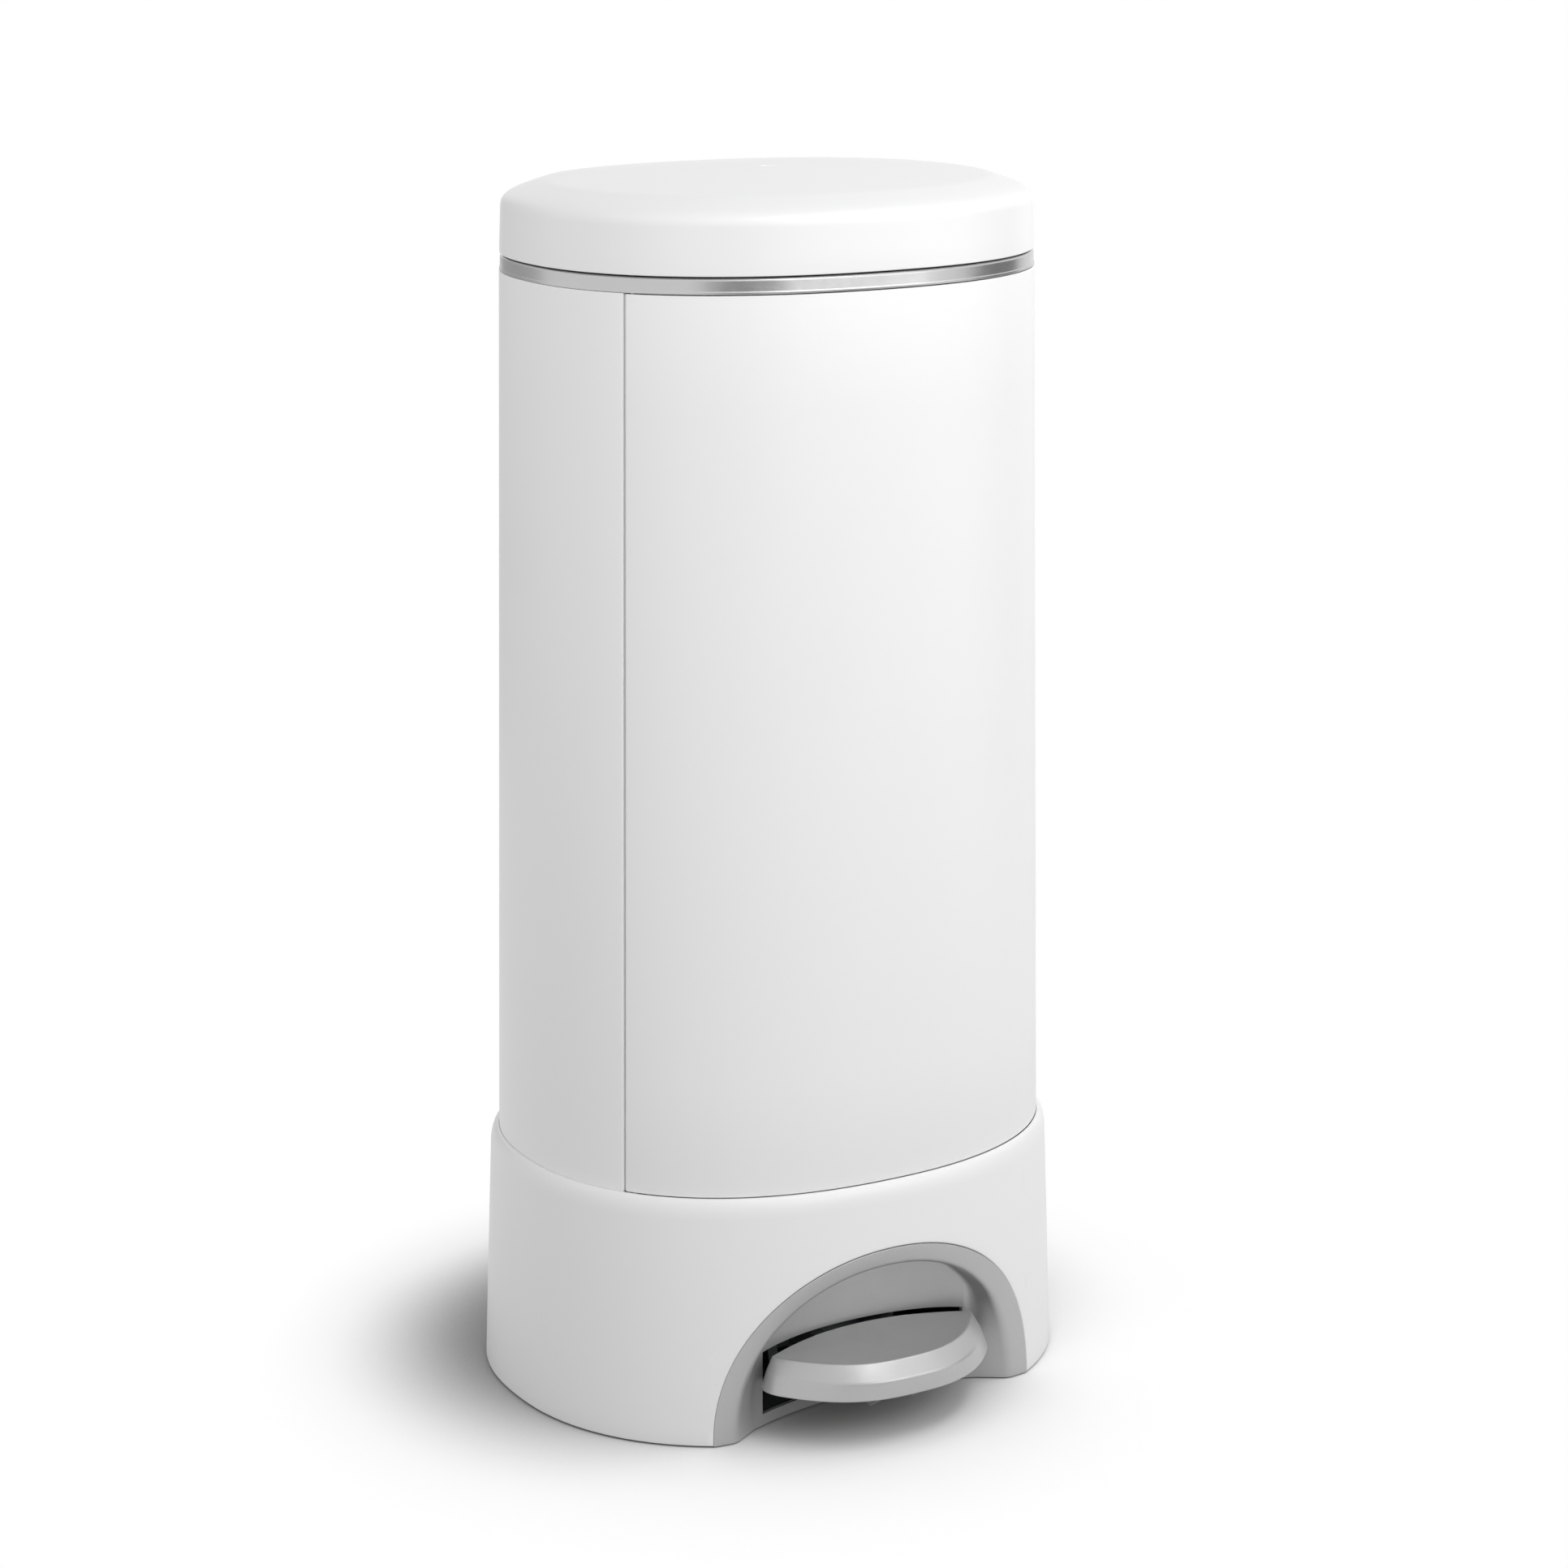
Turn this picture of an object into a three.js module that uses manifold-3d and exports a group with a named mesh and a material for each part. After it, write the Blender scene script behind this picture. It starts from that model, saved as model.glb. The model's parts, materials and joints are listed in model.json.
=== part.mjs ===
// Step-pedal nappy bin, built as the separate pieces that it comes apart into on a bench.
// Millimetres, +Z up, front towards -Y, standing on z = 0. Every piece is a closed solid in its own mesh.
import * as THREE from "three";
import { mergeVertices } from "three/addons/utils/BufferGeometryUtils.js";
import Module from "manifold-3d";

const wasm = await Module();
wasm.setup();

// Driving dimensions: the plan outline where the body meets the base, a superellipse
const halfWidth = 150;
const halfDepth = 127;
const squareness = 2.25;

// Driving dimensions: heights and how far the outline is drawn in at each of them
const rimHeight = 136;
const bodyTop = 604.2;
const bodyTaper = 8.4;
const baseFlare = 9.5;
const rimFlare = 4.7;
const rimRoll = 11.5;
const bandHeight = 8;
const lidGap = 0.8;
const lidWallHeight = 23.5;
const lidInset = 8.65;
const lidDraft = 0.95;
const shoulderWidth = 21.2;
const shoulderHeight = 13.9;
const crownHeight = 5.1;

// Driving dimensions: walls, clearances and the detail of the meshes
const clearance = 0.3;
const slideGap = 0.4;
const skirtWall = 3;
const shellWall = 2.6;
const lidWall = 2.5;
const seamAngle = THREE.MathUtils.degToRad(60.7);
const outlineSteps = 60;
const cutOverrun = 5;

// Driving dimensions: the foot arch, the bay behind it and the pedal
const archHalfWidth = 98.5;
const archHeight = 99.5;
const archPower = 2.12;
const bayHalfWidth = 85.8;
const bayHeight = 87.4;
const trimDepth = 5.1;
const bayWall = 2.6;
const bayDepth = 39;
const bayDepthLine = halfDepth - bayDepth;
const bayBow = 10;
const bayBowWidth = 60;
const bayCornerAt = 58;
const bayCornerSlope = 0.3;
const bayCornerRadius = 4;
const pedalHalfWidth = 69;
const pedalProud = 30;
const pedalReach = halfDepth + pedalProud;
const pedalCurve = 2.65;
const pedalBackGap = 7.3;
const pedalBack = bayDepthLine + pedalBackGap;
const pedalBackBow = 16;
const pedalEndDepth = 8.7;
const pedalCorner = pedalBack + pedalBackBow + pedalEndDepth;
const pedalFootBow = 13.5;
const pedalBottom = 26;
const pedalFace = 10;
const pedalBevelReach = 8.2;
const pedalBevelHalf = 7;
const pedalBevelCorner = 7;
const pedalTop = 44;
const pedalPivotSetback = 28;
const pedalPivotY = pedalPivotSetback - bayDepthLine;
const pedalPivotZ = 30;

// Driving dimensions: the lid hinge and its lift rod
const lidHingeInset = 2.8;
const lidHingeY = halfDepth - lidHingeInset;
const lidHingeRise = 12.8;
const lidHingeZ = bodyTop + lidHingeRise;
const knuckleRadius = 5;
const lidPinRadius = 2.4;
const crankReach = 22;
const crankDrop = 6;
const rodRadius = 3;
const rodInset = 23;
const rodY = halfDepth - rodInset;

// Driving dimensions: the deck under the lid, its funnel and the door hinge
const deckRise = 4.8;
const deckHeight = bodyTop + deckRise;
const deckThickness = 2.5;
const mouthSideMargin = 54;
const mouthFrontMargin = 49;
const mouthHalfWidth = halfWidth - mouthSideMargin;
const mouthHalfDepth = halfDepth - mouthFrontMargin;
const throatSideSlope = 20;
const throatFrontSlope = 16;
const throatHalfWidth = mouthHalfWidth - throatSideSlope;
const throatHalfDepth = mouthHalfDepth - throatFrontSlope;
const throatDepth = 29;
const throatHeight = deckHeight - throatDepth;
const doorPivotRadius = 3.2;
const doorPinRadius = 1.3;
const doorFootGap = 1;
const doorBottom = rimHeight + doorFootGap;

// Finishes
const finish = (color, roughness, metalness = 0) =>
  new THREE.MeshStandardMaterial({ color, roughness, metalness });
const whiteGloss = finish("#f1f1f0", 0.28);
const whiteSatin = finish("#e9e9e8", 0.42);
const silver = finish("#b9babc", 0.34, 0.55);
const greyPlastic = finish("#9b9d9f", 0.5);
const darkPlastic = finish("#4b4e51", 0.55);
const steel = finish("#a9adb1", 0.3, 1);
const rubber = finish("#3a3c3e", 0.8);
const powder = finish("#e8dfcb", 0.95);

// Numbers from first to last in equal steps, both ends included
const spread = (first, last, steps) =>
  Array.from({ length: steps + 1 }, (_, i) => first + ((last - first) * i) / steps);

// Point of a superellipse at an angle that starts at the front and turns towards the right
function ovalPoint(angle, a, b, power, z) {
  const s = Math.abs(Math.sin(angle) / a) ** power;
  const c = Math.abs(Math.cos(angle) / b) ** power;
  const r = (s + c) ** (-1 / power);
  return new THREE.Vector3(r * Math.sin(angle), -r * Math.cos(angle), z);
}

// Point of the bin's outline, drawn in by inset
const outlinePoint = (angle, inset, z) =>
  ovalPoint(angle, halfWidth - inset, halfDepth - inset, squareness, z);

// Inset of the body's outer face at a height, and of the base's below its rim
const bodyInset = (z) =>
  z < rimHeight ? 0 : (bodyTaper * (z - rimHeight)) / (bodyTop - rimHeight);
const rimStart = rimHeight - rimRoll;
const skirtInset = (z) => -baseFlare + ((baseFlare - rimFlare) * z) / rimStart;

// Closed surface through equal loops of points: round in a ring, or capped at its first and last loop
function skin(loops, ring) {
  const count = loops[0].length;
  const points = loops.flat();
  const index = [];
  const last = ring ? loops.length : loops.length - 1;
  for (let i = 0; i < last; i += 1) {
    for (let j = 0; j < count; j += 1) {
      const a = i * count + j;
      const b = i * count + ((j + 1) % count);
      const c = ((i + 1) % loops.length) * count + j;
      const d = ((i + 1) % loops.length) * count + ((j + 1) % count);
      index.push(a, b, d, a, d, c);
    }
  }
  if (!ring) {
    index.push(...cap(loops[0], 0, true));
    index.push(...cap(loops[loops.length - 1], (loops.length - 1) * count, false));
  }
  const geometry = new THREE.BufferGeometry().setFromPoints(points).setIndex(index);
  return solid(geometry);
}

// Triangles that close one flat loop, facing back along the loops for the first one
function cap(loop, offset, first) {
  const normal = new THREE.Vector3();
  loop.forEach((p, i) => {
    const q = loop[(i + 1) % loop.length];
    normal.add(new THREE.Vector3().crossVectors(p, q));
  });
  normal.normalize();
  const across = new THREE.Vector3().subVectors(loop[1], loop[0]);
  across.addScaledVector(normal, -across.dot(normal)).normalize();
  const up = new THREE.Vector3().crossVectors(normal, across);
  const flat = loop.map((p) => new THREE.Vector2(p.dot(across), p.dot(up)));
  const faces = THREE.ShapeUtils.triangulateShape(flat, []);
  return faces.flatMap(([a, b, c]) =>
    first ? [offset + a, offset + c, offset + b] : [offset + a, offset + b, offset + c],
  );
}

// A closed mesh as a solid: vertices merged, faces without area dropped, faces turned outwards
function solid(source) {
  const bare = new THREE.BufferGeometry();
  bare.setAttribute("position", source.getAttribute("position"));
  bare.setIndex(source.index);
  const merged = mergeVertices(bare, 1e-3);
  const kept = [];
  const index = merged.index.array;
  for (let i = 0; i < index.length; i += 3) {
    const [a, b, c] = [index[i], index[i + 1], index[i + 2]];
    if (a !== b && b !== c && c !== a) kept.push(a, b, c);
  }
  const vertProperties = merged.attributes.position.array;
  const made = (triVerts) =>
    new wasm.Manifold(
      new wasm.Mesh({ numProp: 3, vertProperties, triVerts: new Uint32Array(triVerts) }),
    );
  const shape = made(kept);
  return shape.volume() > 0 ? shape : made(kept.reverse());
}

// A solid's surface as a geometry again
function geometryOf(shape) {
  const mesh = shape.getMesh();
  const geometry = new THREE.BufferGeometry();
  geometry.setAttribute("position", new THREE.BufferAttribute(mesh.vertProperties, 3));
  geometry.setIndex(new THREE.BufferAttribute(mesh.triVerts, 1));
  geometry.computeVertexNormals();
  return geometry;
}

// Block between two corners
function block(x0, y0, z0, x1, y1, z1) {
  const box = new THREE.BoxGeometry(x1 - x0, y1 - y0, z1 - z0);
  return solid(box.translate((x0 + x1) / 2, (y0 + y1) / 2, (z0 + z1) / 2));
}

// Round bar between two points
function bar(from, to, radius, sides) {
  const along = new THREE.Vector3().subVectors(to, from);
  const cylinder = new THREE.CylinderGeometry(radius, radius, along.length(), sides);
  const turn = new THREE.Quaternion().setFromUnitVectors(
    new THREE.Vector3(0, 1, 0),
    along.clone().normalize(),
  );
  const middle = new THREE.Vector3().addVectors(from, to).multiplyScalar(1 / 2);
  return solid(cylinder.applyQuaternion(turn).translate(middle.x, middle.y, middle.z));
}

// Turned piece about an upright axis, from [radius, height] points that start and end on the axis or close
function turned(points, sides) {
  const profile = points.map(([r, z]) => new THREE.Vector2(r, z));
  const closed = points[0][0] > 0;
  if (closed) profile.push(profile[0].clone());
  const lathe = new THREE.LatheGeometry(profile, sides);
  return solid(lathe.rotateX(Math.PI / 2));
}

// Flat outline of [x, y] points, extruded up between two heights
function plate(points, z0, z1) {
  const shape = new THREE.Shape(points.map(([x, y]) => new THREE.Vector2(x, y)));
  const body = new THREE.ExtrudeGeometry(shape, { depth: z1 - z0, bevelEnabled: false });
  return solid(body.translate(0, 0, z0));
}

// Shell that follows the outline: a closed profile of [inset, z, share] points carried right round or
// over a sector, where share draws a point in towards the middle
const profilePoint = (angle, [inset, z, share = 1]) => {
  const point = outlinePoint(angle, inset, z);
  return point.set(point.x * share, point.y * share, z);
};
const around = (steps) => spread(0, 2 * Math.PI, steps).slice(0, -1);
const ringShell = (profile) =>
  skin(
    around(outlineSteps).map((angle) => profile.map((p) => profilePoint(angle, p))),
    true,
  );
const sectorShell = (profile, start, end, steps) =>
  skin(
    spread(start, end, steps).map((angle) => profile.map((p) => profilePoint(angle, p))),
    false,
  );

// Upright column through superellipses given as [half width, half depth, power, z]
const ovalLoop = ([a, b, power, z]) =>
  around(outlineSteps).map((angle) => ovalPoint(angle, a, b, power, z));
const ovalColumn = (levels) => skin(levels.map(ovalLoop), false);
const ovalRing = (profile) =>
  skin(
    around(outlineSteps).map((angle) =>
      profile.map(([a, b, power, z]) => ovalPoint(angle, a, b, power, z)),
    ),
    true,
  );

// Point of an arch that stands on the floor, from its right foot over to its left one
function archPoint(halfSpan, height, t) {
  const c = Math.cos(t);
  const s = Math.sin(t);
  return [
    halfSpan * Math.sign(c) * Math.abs(c) ** (2 / archPower),
    height * Math.abs(s) ** (2 / archPower),
  ];
}

// Arch as a column along Y; below its feet it runs straight down to z = bottom
function archColumn(halfSpan, height, y0, y1, bottom) {
  const archSteps = 30;
  const curve = spread(0, Math.PI, archSteps).map((t) => archPoint(halfSpan, height, t));
  const points = [[halfSpan, bottom], ...curve, [-halfSpan, bottom]];
  const shape = new THREE.Shape(points.map(([x, z]) => new THREE.Vector2(x, z)));
  const body = new THREE.ExtrudeGeometry(shape, { depth: y1 - y0, bevelEnabled: false });
  return solid(body.rotateX(Math.PI / 2).translate(0, y1, 0));
}

// Base: skirt with a rounded rim, a ledge inside it and a socket for the door's lower hinge pin
const floorGap = 0.8;
const ledgeTop = rimStart;
const ledgeThickness = 3;
const ledgeReach = 11;
const rimSteps = 6;
const rimHalfWidth = 2.9;
const rimCentre = rimFlare - rimHalfWidth;
const rimInnerTurn = THREE.MathUtils.degToRad(60);
const doorAxisInset = doorPivotRadius;
const socketRadius = 3;
const socketGap = 0.6;

function baseSkirt() {
  const rim = spread(Math.PI, rimInnerTurn, rimSteps).map((t) => [
    -rimCentre + rimHalfWidth * Math.cos(t),
    rimStart + rimRoll * Math.sin(t),
  ]);
  const [rimInner] = rim[rim.length - 1];
  const skirt = ringShell([
    [skirtInset(floorGap), floorGap],
    ...rim,
    [rimInner, ledgeTop],
    [ledgeReach, ledgeTop],
    [ledgeReach, ledgeTop - ledgeThickness],
    [skirtInset(ledgeTop - ledgeThickness) + skirtWall, ledgeTop - ledgeThickness],
    [skirtInset(floorGap) + skirtWall, floorGap],
  ]);
  const opening = archColumn(
    archHalfWidth + slideGap,
    archHeight + slideGap,
    -halfDepth - baseFlare - cutOverrun,
    -halfDepth / 2,
    -cutOverrun,
  );
  const socket = bar(
    doorAxis(ledgeTop - ledgeThickness / 2),
    doorAxis(doorBottom - socketGap),
    socketRadius,
    20,
  );
  const hole = bar(
    doorAxis(ledgeTop),
    doorAxis(doorBottom),
    doorPinRadius + clearance,
    16,
  );
  return skirt.subtract(opening).add(socket).subtract(hole);
}

// Door hinge axis: it runs parallel to the seam, one pivot radius inside the outer face
function seamFrame(z) {
  const step = 1e-3;
  const at = outlinePoint(-seamAngle, bodyInset(z), z);
  const next = outlinePoint(-seamAngle + step, bodyInset(z), z);
  const along = next.sub(at).normalize();
  const inward = new THREE.Vector3(-along.y, along.x, 0);
  return { at, along, inward };
}
const seamGap = 0.7;
const doorEdgeGap = 0.8;
function doorAxis(z) {
  const { at, along, inward } = seamFrame(z);
  return at
    .addScaledVector(along, doorPivotRadius + seamGap)
    .addScaledVector(inward, doorAxisInset);
}

// Plan line of the bay's back wall: gently bowed, with a soft corner where its sides turn forwards
function bayLine(x) {
  const past = Math.max(Math.abs(x) - bayCornerAt, 0);
  const corner = bayCornerSlope * (Math.hypot(past, bayCornerRadius) - bayCornerRadius);
  return -bayDepthLine - bayBow * (x / bayBowWidth) ** 2 - corner;
}
const bayLineSteps = 28;
const bayLinePoints = (halfSpan, offset) =>
  spread(-halfSpan, halfSpan, bayLineSteps).map((x) => [x, bayLine(x) + offset]);
const bayFront = -halfDepth - baseFlare - cutOverrun;

// Everything in front of the back wall's line, moved back by offset
const beforeBayLine = (offset, z0, z1) => {
  const front = Math.min(bayFront, bayLine(archHalfWidth) - cutOverrun);
  return plate(
    [
      ...bayLinePoints(archHalfWidth, offset),
      [archHalfWidth, front],
      [-archHalfWidth, front],
    ],
    z0,
    z1,
  );
};

// Bay: trim that funnels in from the arch, a short tunnel and the back wall, in one moulding
const trimThickness = 3;
const armSlotHalfWidth = 31;
const armSlotBottom = 18;
const armSlotTop = 43;
function skirtFront(x, z) {
  const a = halfWidth - skirtInset(z);
  const b = halfDepth - skirtInset(z);
  return -b * (1 - Math.abs(x / a) ** squareness) ** (1 / squareness);
}

function pedalBay() {
  const trimSteps = 30;
  const trim = skin(
    spread(0, Math.PI, trimSteps).map((t) => {
      const outer = archPoint(archHalfWidth, archHeight, t);
      const inner = archPoint(bayHalfWidth, bayHeight, t);
      const place = ([x, z], depth) =>
        new THREE.Vector3(x, skirtFront(x, z) + depth, z);
      return [
        place(outer, 0),
        place(inner, trimDepth),
        place(inner, trimDepth + trimThickness),
        place(outer, trimThickness),
      ];
    }),
    false,
  );
  const top = bayHeight + bayWall;
  const tunnel = archColumn(bayHalfWidth + bayWall, top, bayFront, 0, -cutOverrun)
    .intersect(beforeBayLine(bayWall, 0, top + cutOverrun))
    .intersect(
      ovalColumn(
        [0, top + cutOverrun].map((z) => [
          halfWidth - skirtInset(z) - trimDepth - trimThickness / 2,
          halfDepth - skirtInset(z) - trimDepth - trimThickness / 2,
          squareness,
          z,
        ]),
      ),
    );
  const hollow = archColumn(bayHalfWidth, bayHeight, bayFront, 0, -cutOverrun).intersect(
    beforeBayLine(0, -cutOverrun, top + cutOverrun),
  );
  const slot = block(
    -armSlotHalfWidth,
    -bayDepthLine - cutOverrun,
    armSlotBottom,
    armSlotHalfWidth,
    -bayDepthLine + bayWall + cutOverrun,
    armSlotTop,
  );
  const floorCut = block(
    -halfWidth,
    bayFront,
    -cutOverrun,
    halfWidth,
    0,
    floorGap,
  );
  return tunnel.add(trim).subtract(hollow).subtract(slot).subtract(floorCut);
}

// Base plate: closes the mechanism in from below, behind the bay
const trimSetback = 18.5;
const trimBack = halfDepth - trimSetback;
const footHeight = 3;
const footRadius = 9;
const frontFootMargin = 38;
const frontFootReach = 40;
const rearFootMargin = 66;
const rearFootSetback = 43;
const basePlateBottom = footHeight + clearance;
const basePlateThickness = 2.5;
const basePlateTop = basePlateBottom + basePlateThickness;
const screwRadius = 1.6;
const screwHeadRadius = 3.4;
const screwHeadHeight = 1.8;
const screwTop = 13;
const bracketX = 34;
const bracketThickness = 6;
const bracketFlange = 12;
const bracketHalfLength = 14;
const screwX = bracketX + bracketThickness + bracketFlange / 2;
const screwSpots = [-1, 1].flatMap((sx) =>
  [-1, 1].map((sy) => [sx * screwX, pedalPivotY + (sy * bracketHalfLength) / 2]),
);

function basePlate() {
  const inset = skirtInset(basePlateTop) + skirtWall + slideGap;
  const sheet = plate(
    around(outlineSteps).map((angle) => {
      const p = outlinePoint(angle, inset, 0);
      return [p.x, p.y];
    }),
    basePlateBottom,
    basePlateTop,
  );
  const cut = beforeBayLine(bayWall + slideGap, 0, basePlateTop + cutOverrun).add(
    block(
      -archHalfWidth - slideGap,
      bayFront,
      0,
      archHalfWidth + slideGap,
      -trimBack,
      basePlateTop + cutOverrun,
    ),
  );
  const holes = screwSpots.map(([x, y]) =>
    bar(
      new THREE.Vector3(x, y, 0),
      new THREE.Vector3(x, y, basePlateTop + cutOverrun),
      screwRadius + clearance,
      12,
    ),
  );
  return holes.reduce((shape, hole) => shape.subtract(hole), sheet.subtract(cut));
}

const footShape = () =>
  turned(
    [
      [0, 0],
      [footRadius - footHeight / 4, 0],
      [footRadius, footHeight / 4],
      [footRadius, footHeight],
      [0, footHeight],
    ],
    24,
  );

const screwShape = () =>
  turned(
    [
      [0, basePlateBottom - clearance - screwHeadHeight],
      [screwHeadRadius, basePlateBottom - clearance - screwHeadHeight / 2],
      [screwHeadRadius, basePlateBottom - clearance],
      [screwRadius, basePlateBottom - clearance],
      [screwRadius, screwTop - screwRadius],
      [0, screwTop],
    ],
    12,
  );

// Axle bracket: an upright ear with a foot flange on the base plate
const axleRadius = 3;
const bracketTopRadius = 7;
const flangeThickness = 8;
function axleBracket(side) {
  const foot = basePlateTop + clearance;
  const ear = new THREE.Shape();
  ear.moveTo(-bracketHalfLength, foot);
  ear.lineTo(bracketHalfLength, foot);
  ear.lineTo(bracketTopRadius, pedalPivotZ);
  ear.absarc(0, pedalPivotZ, bracketTopRadius, 0, Math.PI, false);
  ear.closePath();
  const hole = new THREE.Path();
  hole.absarc(0, pedalPivotZ, axleRadius + clearance, 0, 2 * Math.PI, true);
  ear.holes.push(hole);
  const upright = new THREE.ExtrudeGeometry(ear, {
    depth: bracketThickness,
    bevelEnabled: false,
    curveSegments: 12,
  });
  upright.rotateX(Math.PI / 2).rotateZ(Math.PI / 2);
  const inner = side > 0 ? bracketX : -bracketX - bracketThickness;
  const flangeStart = side > 0 ? bracketX : -bracketX - bracketThickness - bracketFlange;
  const flange = block(
    flangeStart,
    pedalPivotY - bracketHalfLength,
    foot,
    flangeStart + bracketThickness + bracketFlange,
    pedalPivotY + bracketHalfLength,
    foot + flangeThickness,
  );
  const holes = screwSpots.map(([x, y]) =>
    bar(
      new THREE.Vector3(x, y, 0),
      new THREE.Vector3(x, y, foot + flangeThickness + cutOverrun),
      screwRadius + clearance,
      12,
    ),
  );
  const bracket = solid(upright.translate(inner, pedalPivotY, 0)).add(flange);
  return holes.reduce((shape, bore) => shape.subtract(bore), bracket);
}

// Axle that the pedal lever swings on, with a flat head at each end
const axleHead = 1.5;
const axleHalfLength = bracketX + bracketThickness + clearance;
const axleShape = () =>
  solid(
    new THREE.LatheGeometry(
      [
        [0, -axleHalfLength - axleHead],
        [axleRadius + axleHead, -axleHalfLength - axleHead],
        [axleRadius + axleHead, -axleHalfLength],
        [axleRadius, -axleHalfLength],
        [axleRadius, axleHalfLength],
        [axleRadius + axleHead, axleHalfLength],
        [axleRadius + axleHead, axleHalfLength + axleHead],
        [0, axleHalfLength + axleHead],
      ].map(([r, x]) => new THREE.Vector2(r, x)),
      20,
    )
      .rotateZ(-Math.PI / 2)
      .translate(0, pedalPivotY, pedalPivotZ),
  );

// Pedal lever: two arms under the pedal, a tube on the axle and a tail that lifts the rod
const leverHalfLength = bracketX - clearance;
const leverTubeRadius = 7;
const armInner = 18;
const armWidth = 8;
const armBottom = 27;
const pedalWall = 2.6;
const armTop = pedalTop - pedalWall - clearance;
const armSetback = 23;
const armFront = pedalReach - armSetback;
const tailHalfWidth = 8;
const tailBottom = 24;
const tailTop = 30;
const noseRadius = 5;
const rodFootZ = tailTop + noseRadius / 2;
const noseZ = rodFootZ - clearance - noseRadius;

function pedalLever() {
  const along = (z, y, half) => [
    new THREE.Vector3(-half, y, z),
    new THREE.Vector3(half, y, z),
  ];
  const tube = bar(
    ...along(pedalPivotZ, pedalPivotY, leverHalfLength),
    leverTubeRadius,
    24,
  );
  const bore = bar(
    ...along(pedalPivotZ, pedalPivotY, leverHalfLength + cutOverrun),
    axleRadius + clearance,
    20,
  );
  const arms = [-armInner - armWidth, armInner].map((x) =>
    block(x, -armFront, armBottom, x + armWidth, pedalPivotY, armTop),
  );
  const tail = block(
    -tailHalfWidth,
    pedalPivotY,
    tailBottom,
    tailHalfWidth,
    rodY,
    tailTop,
  );
  const nose = bar(...along(noseZ, rodY, tailHalfWidth), noseRadius, 20);
  return tube.add(arms[0]).add(arms[1]).add(tail).add(nose).subtract(bore);
}

// Pedal: lens-shaped cap with a bevelled front, hollow below, with two fins that stop it at the floor
const pedalRound = 1;
const finX = 12.7;
const finThickness = 2;
const finTipSetback = 26;
const finTipY = finTipSetback - pedalReach;
const finTipZ = 12;
const finSetback = 5;
const finLength = 44;
const finFront = pedalReach - finSetback;
const finBack = finFront - finLength;

// Loop of the cap at a height: its half width, how far its middle and its corners reach forwards, the
// bow of its back edge and how far that edge is moved back
function pedalLoop(half, reach, corner, z, bow, backShift) {
  const frontSteps = 20;
  const backSteps = 12;
  const front = spread(-1, 1, frontSteps).map(
    (s) => new THREE.Vector3(half * s, (reach - corner) * Math.abs(s) ** pedalCurve - reach, z),
  );
  const back = spread(1, -1, backSteps).map(
    (s) => new THREE.Vector3(half * s, backShift - pedalBack - bow * s ** 2, z),
  );
  return [...front, ...back];
}
const pedalLevel = (inset, z, bevelShare, backShift) =>
  pedalLoop(
    pedalHalfWidth - inset - bevelShare * pedalBevelHalf,
    pedalReach - inset - bevelShare * pedalBevelReach,
    pedalCorner - inset / 2 - bevelShare * pedalBevelCorner,
    z,
    THREE.MathUtils.lerp(pedalFootBow, pedalBackBow, bevelShare),
    backShift,
  );

function pedalCap() {
  const faceTop = pedalBottom + pedalFace;
  const outer = skin(
    [
      pedalLevel(pedalRound / 2, pedalBottom, 0, -pedalRound / 2),
      pedalLevel(0, pedalBottom + pedalRound, 0, 0),
      pedalLevel(0, faceTop - pedalRound / 2, 0, 0),
      pedalLevel(pedalRound / 2, faceTop + pedalRound / 2, 0, 0),
      pedalLevel(0, pedalTop - pedalRound / 2, 1, 0),
      pedalLevel(pedalRound, pedalTop, 1, -pedalRound / 2),
    ],
    false,
  );
  const roof = pedalTop - pedalWall;
  const inner = skin(
    [
      pedalLevel(pedalWall, pedalBottom - cutOverrun, 0, pedalWall),
      pedalLevel(pedalWall, faceTop - pedalRound, 0, pedalWall),
      pedalLevel(pedalWall, roof, 1, pedalWall),
    ],
    false,
  );
  const fin = new THREE.Shape([
    new THREE.Vector2(-finFront, roof + pedalWall / 2),
    new THREE.Vector2(-finFront, pedalBottom + pedalRound),
    new THREE.Vector2(finTipY, finTipZ),
    new THREE.Vector2(-finBack, pedalBottom + pedalRound),
    new THREE.Vector2(-finBack, roof + pedalWall / 2),
  ]);
  const within = skin(
    [
      pedalLevel(pedalRound, finTipZ - cutOverrun, 0, -pedalRound),
      pedalLevel(pedalRound, faceTop - pedalRound, 0, -pedalRound),
      pedalLevel(pedalRound, roof + pedalWall / 2, 1, -pedalRound),
    ],
    false,
  );
  const fins = [-finX, finX].map((x) => {
    const sheet = new THREE.ExtrudeGeometry(fin, {
      depth: finThickness,
      bevelEnabled: false,
    });
    sheet.rotateX(Math.PI / 2).rotateZ(Math.PI / 2);
    return solid(sheet.translate(x - finThickness / 2, 0, 0)).intersect(within);
  });
  return outer.subtract(inner).add(fins[0]).add(fins[1]);
}

// Bin floor: a tray inside the bottom of the body, resting on the base's ledge
const trayInset = 7;
const trayWall = 2.2;
const trayHeight = 15.2;
const trayThickness = 2.5;
const trayBottom = ledgeTop + clearance;
function binFloor() {
  const tray = ringShell([
    [0, trayBottom, 0],
    [trayInset, trayBottom],
    [trayInset, trayBottom + trayHeight],
    [trayInset + trayWall, trayBottom + trayHeight],
    [trayInset + trayWall, trayBottom + trayThickness],
    [0, trayBottom + trayThickness, 0],
  ]);
  const hole = bar(
    new THREE.Vector3(0, rodY, trayBottom - cutOverrun),
    new THREE.Vector3(0, rodY, trayBottom + trayThickness + cutOverrun),
    rodRadius + slideGap,
    20,
  );
  return tray.subtract(hole);
}

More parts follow.
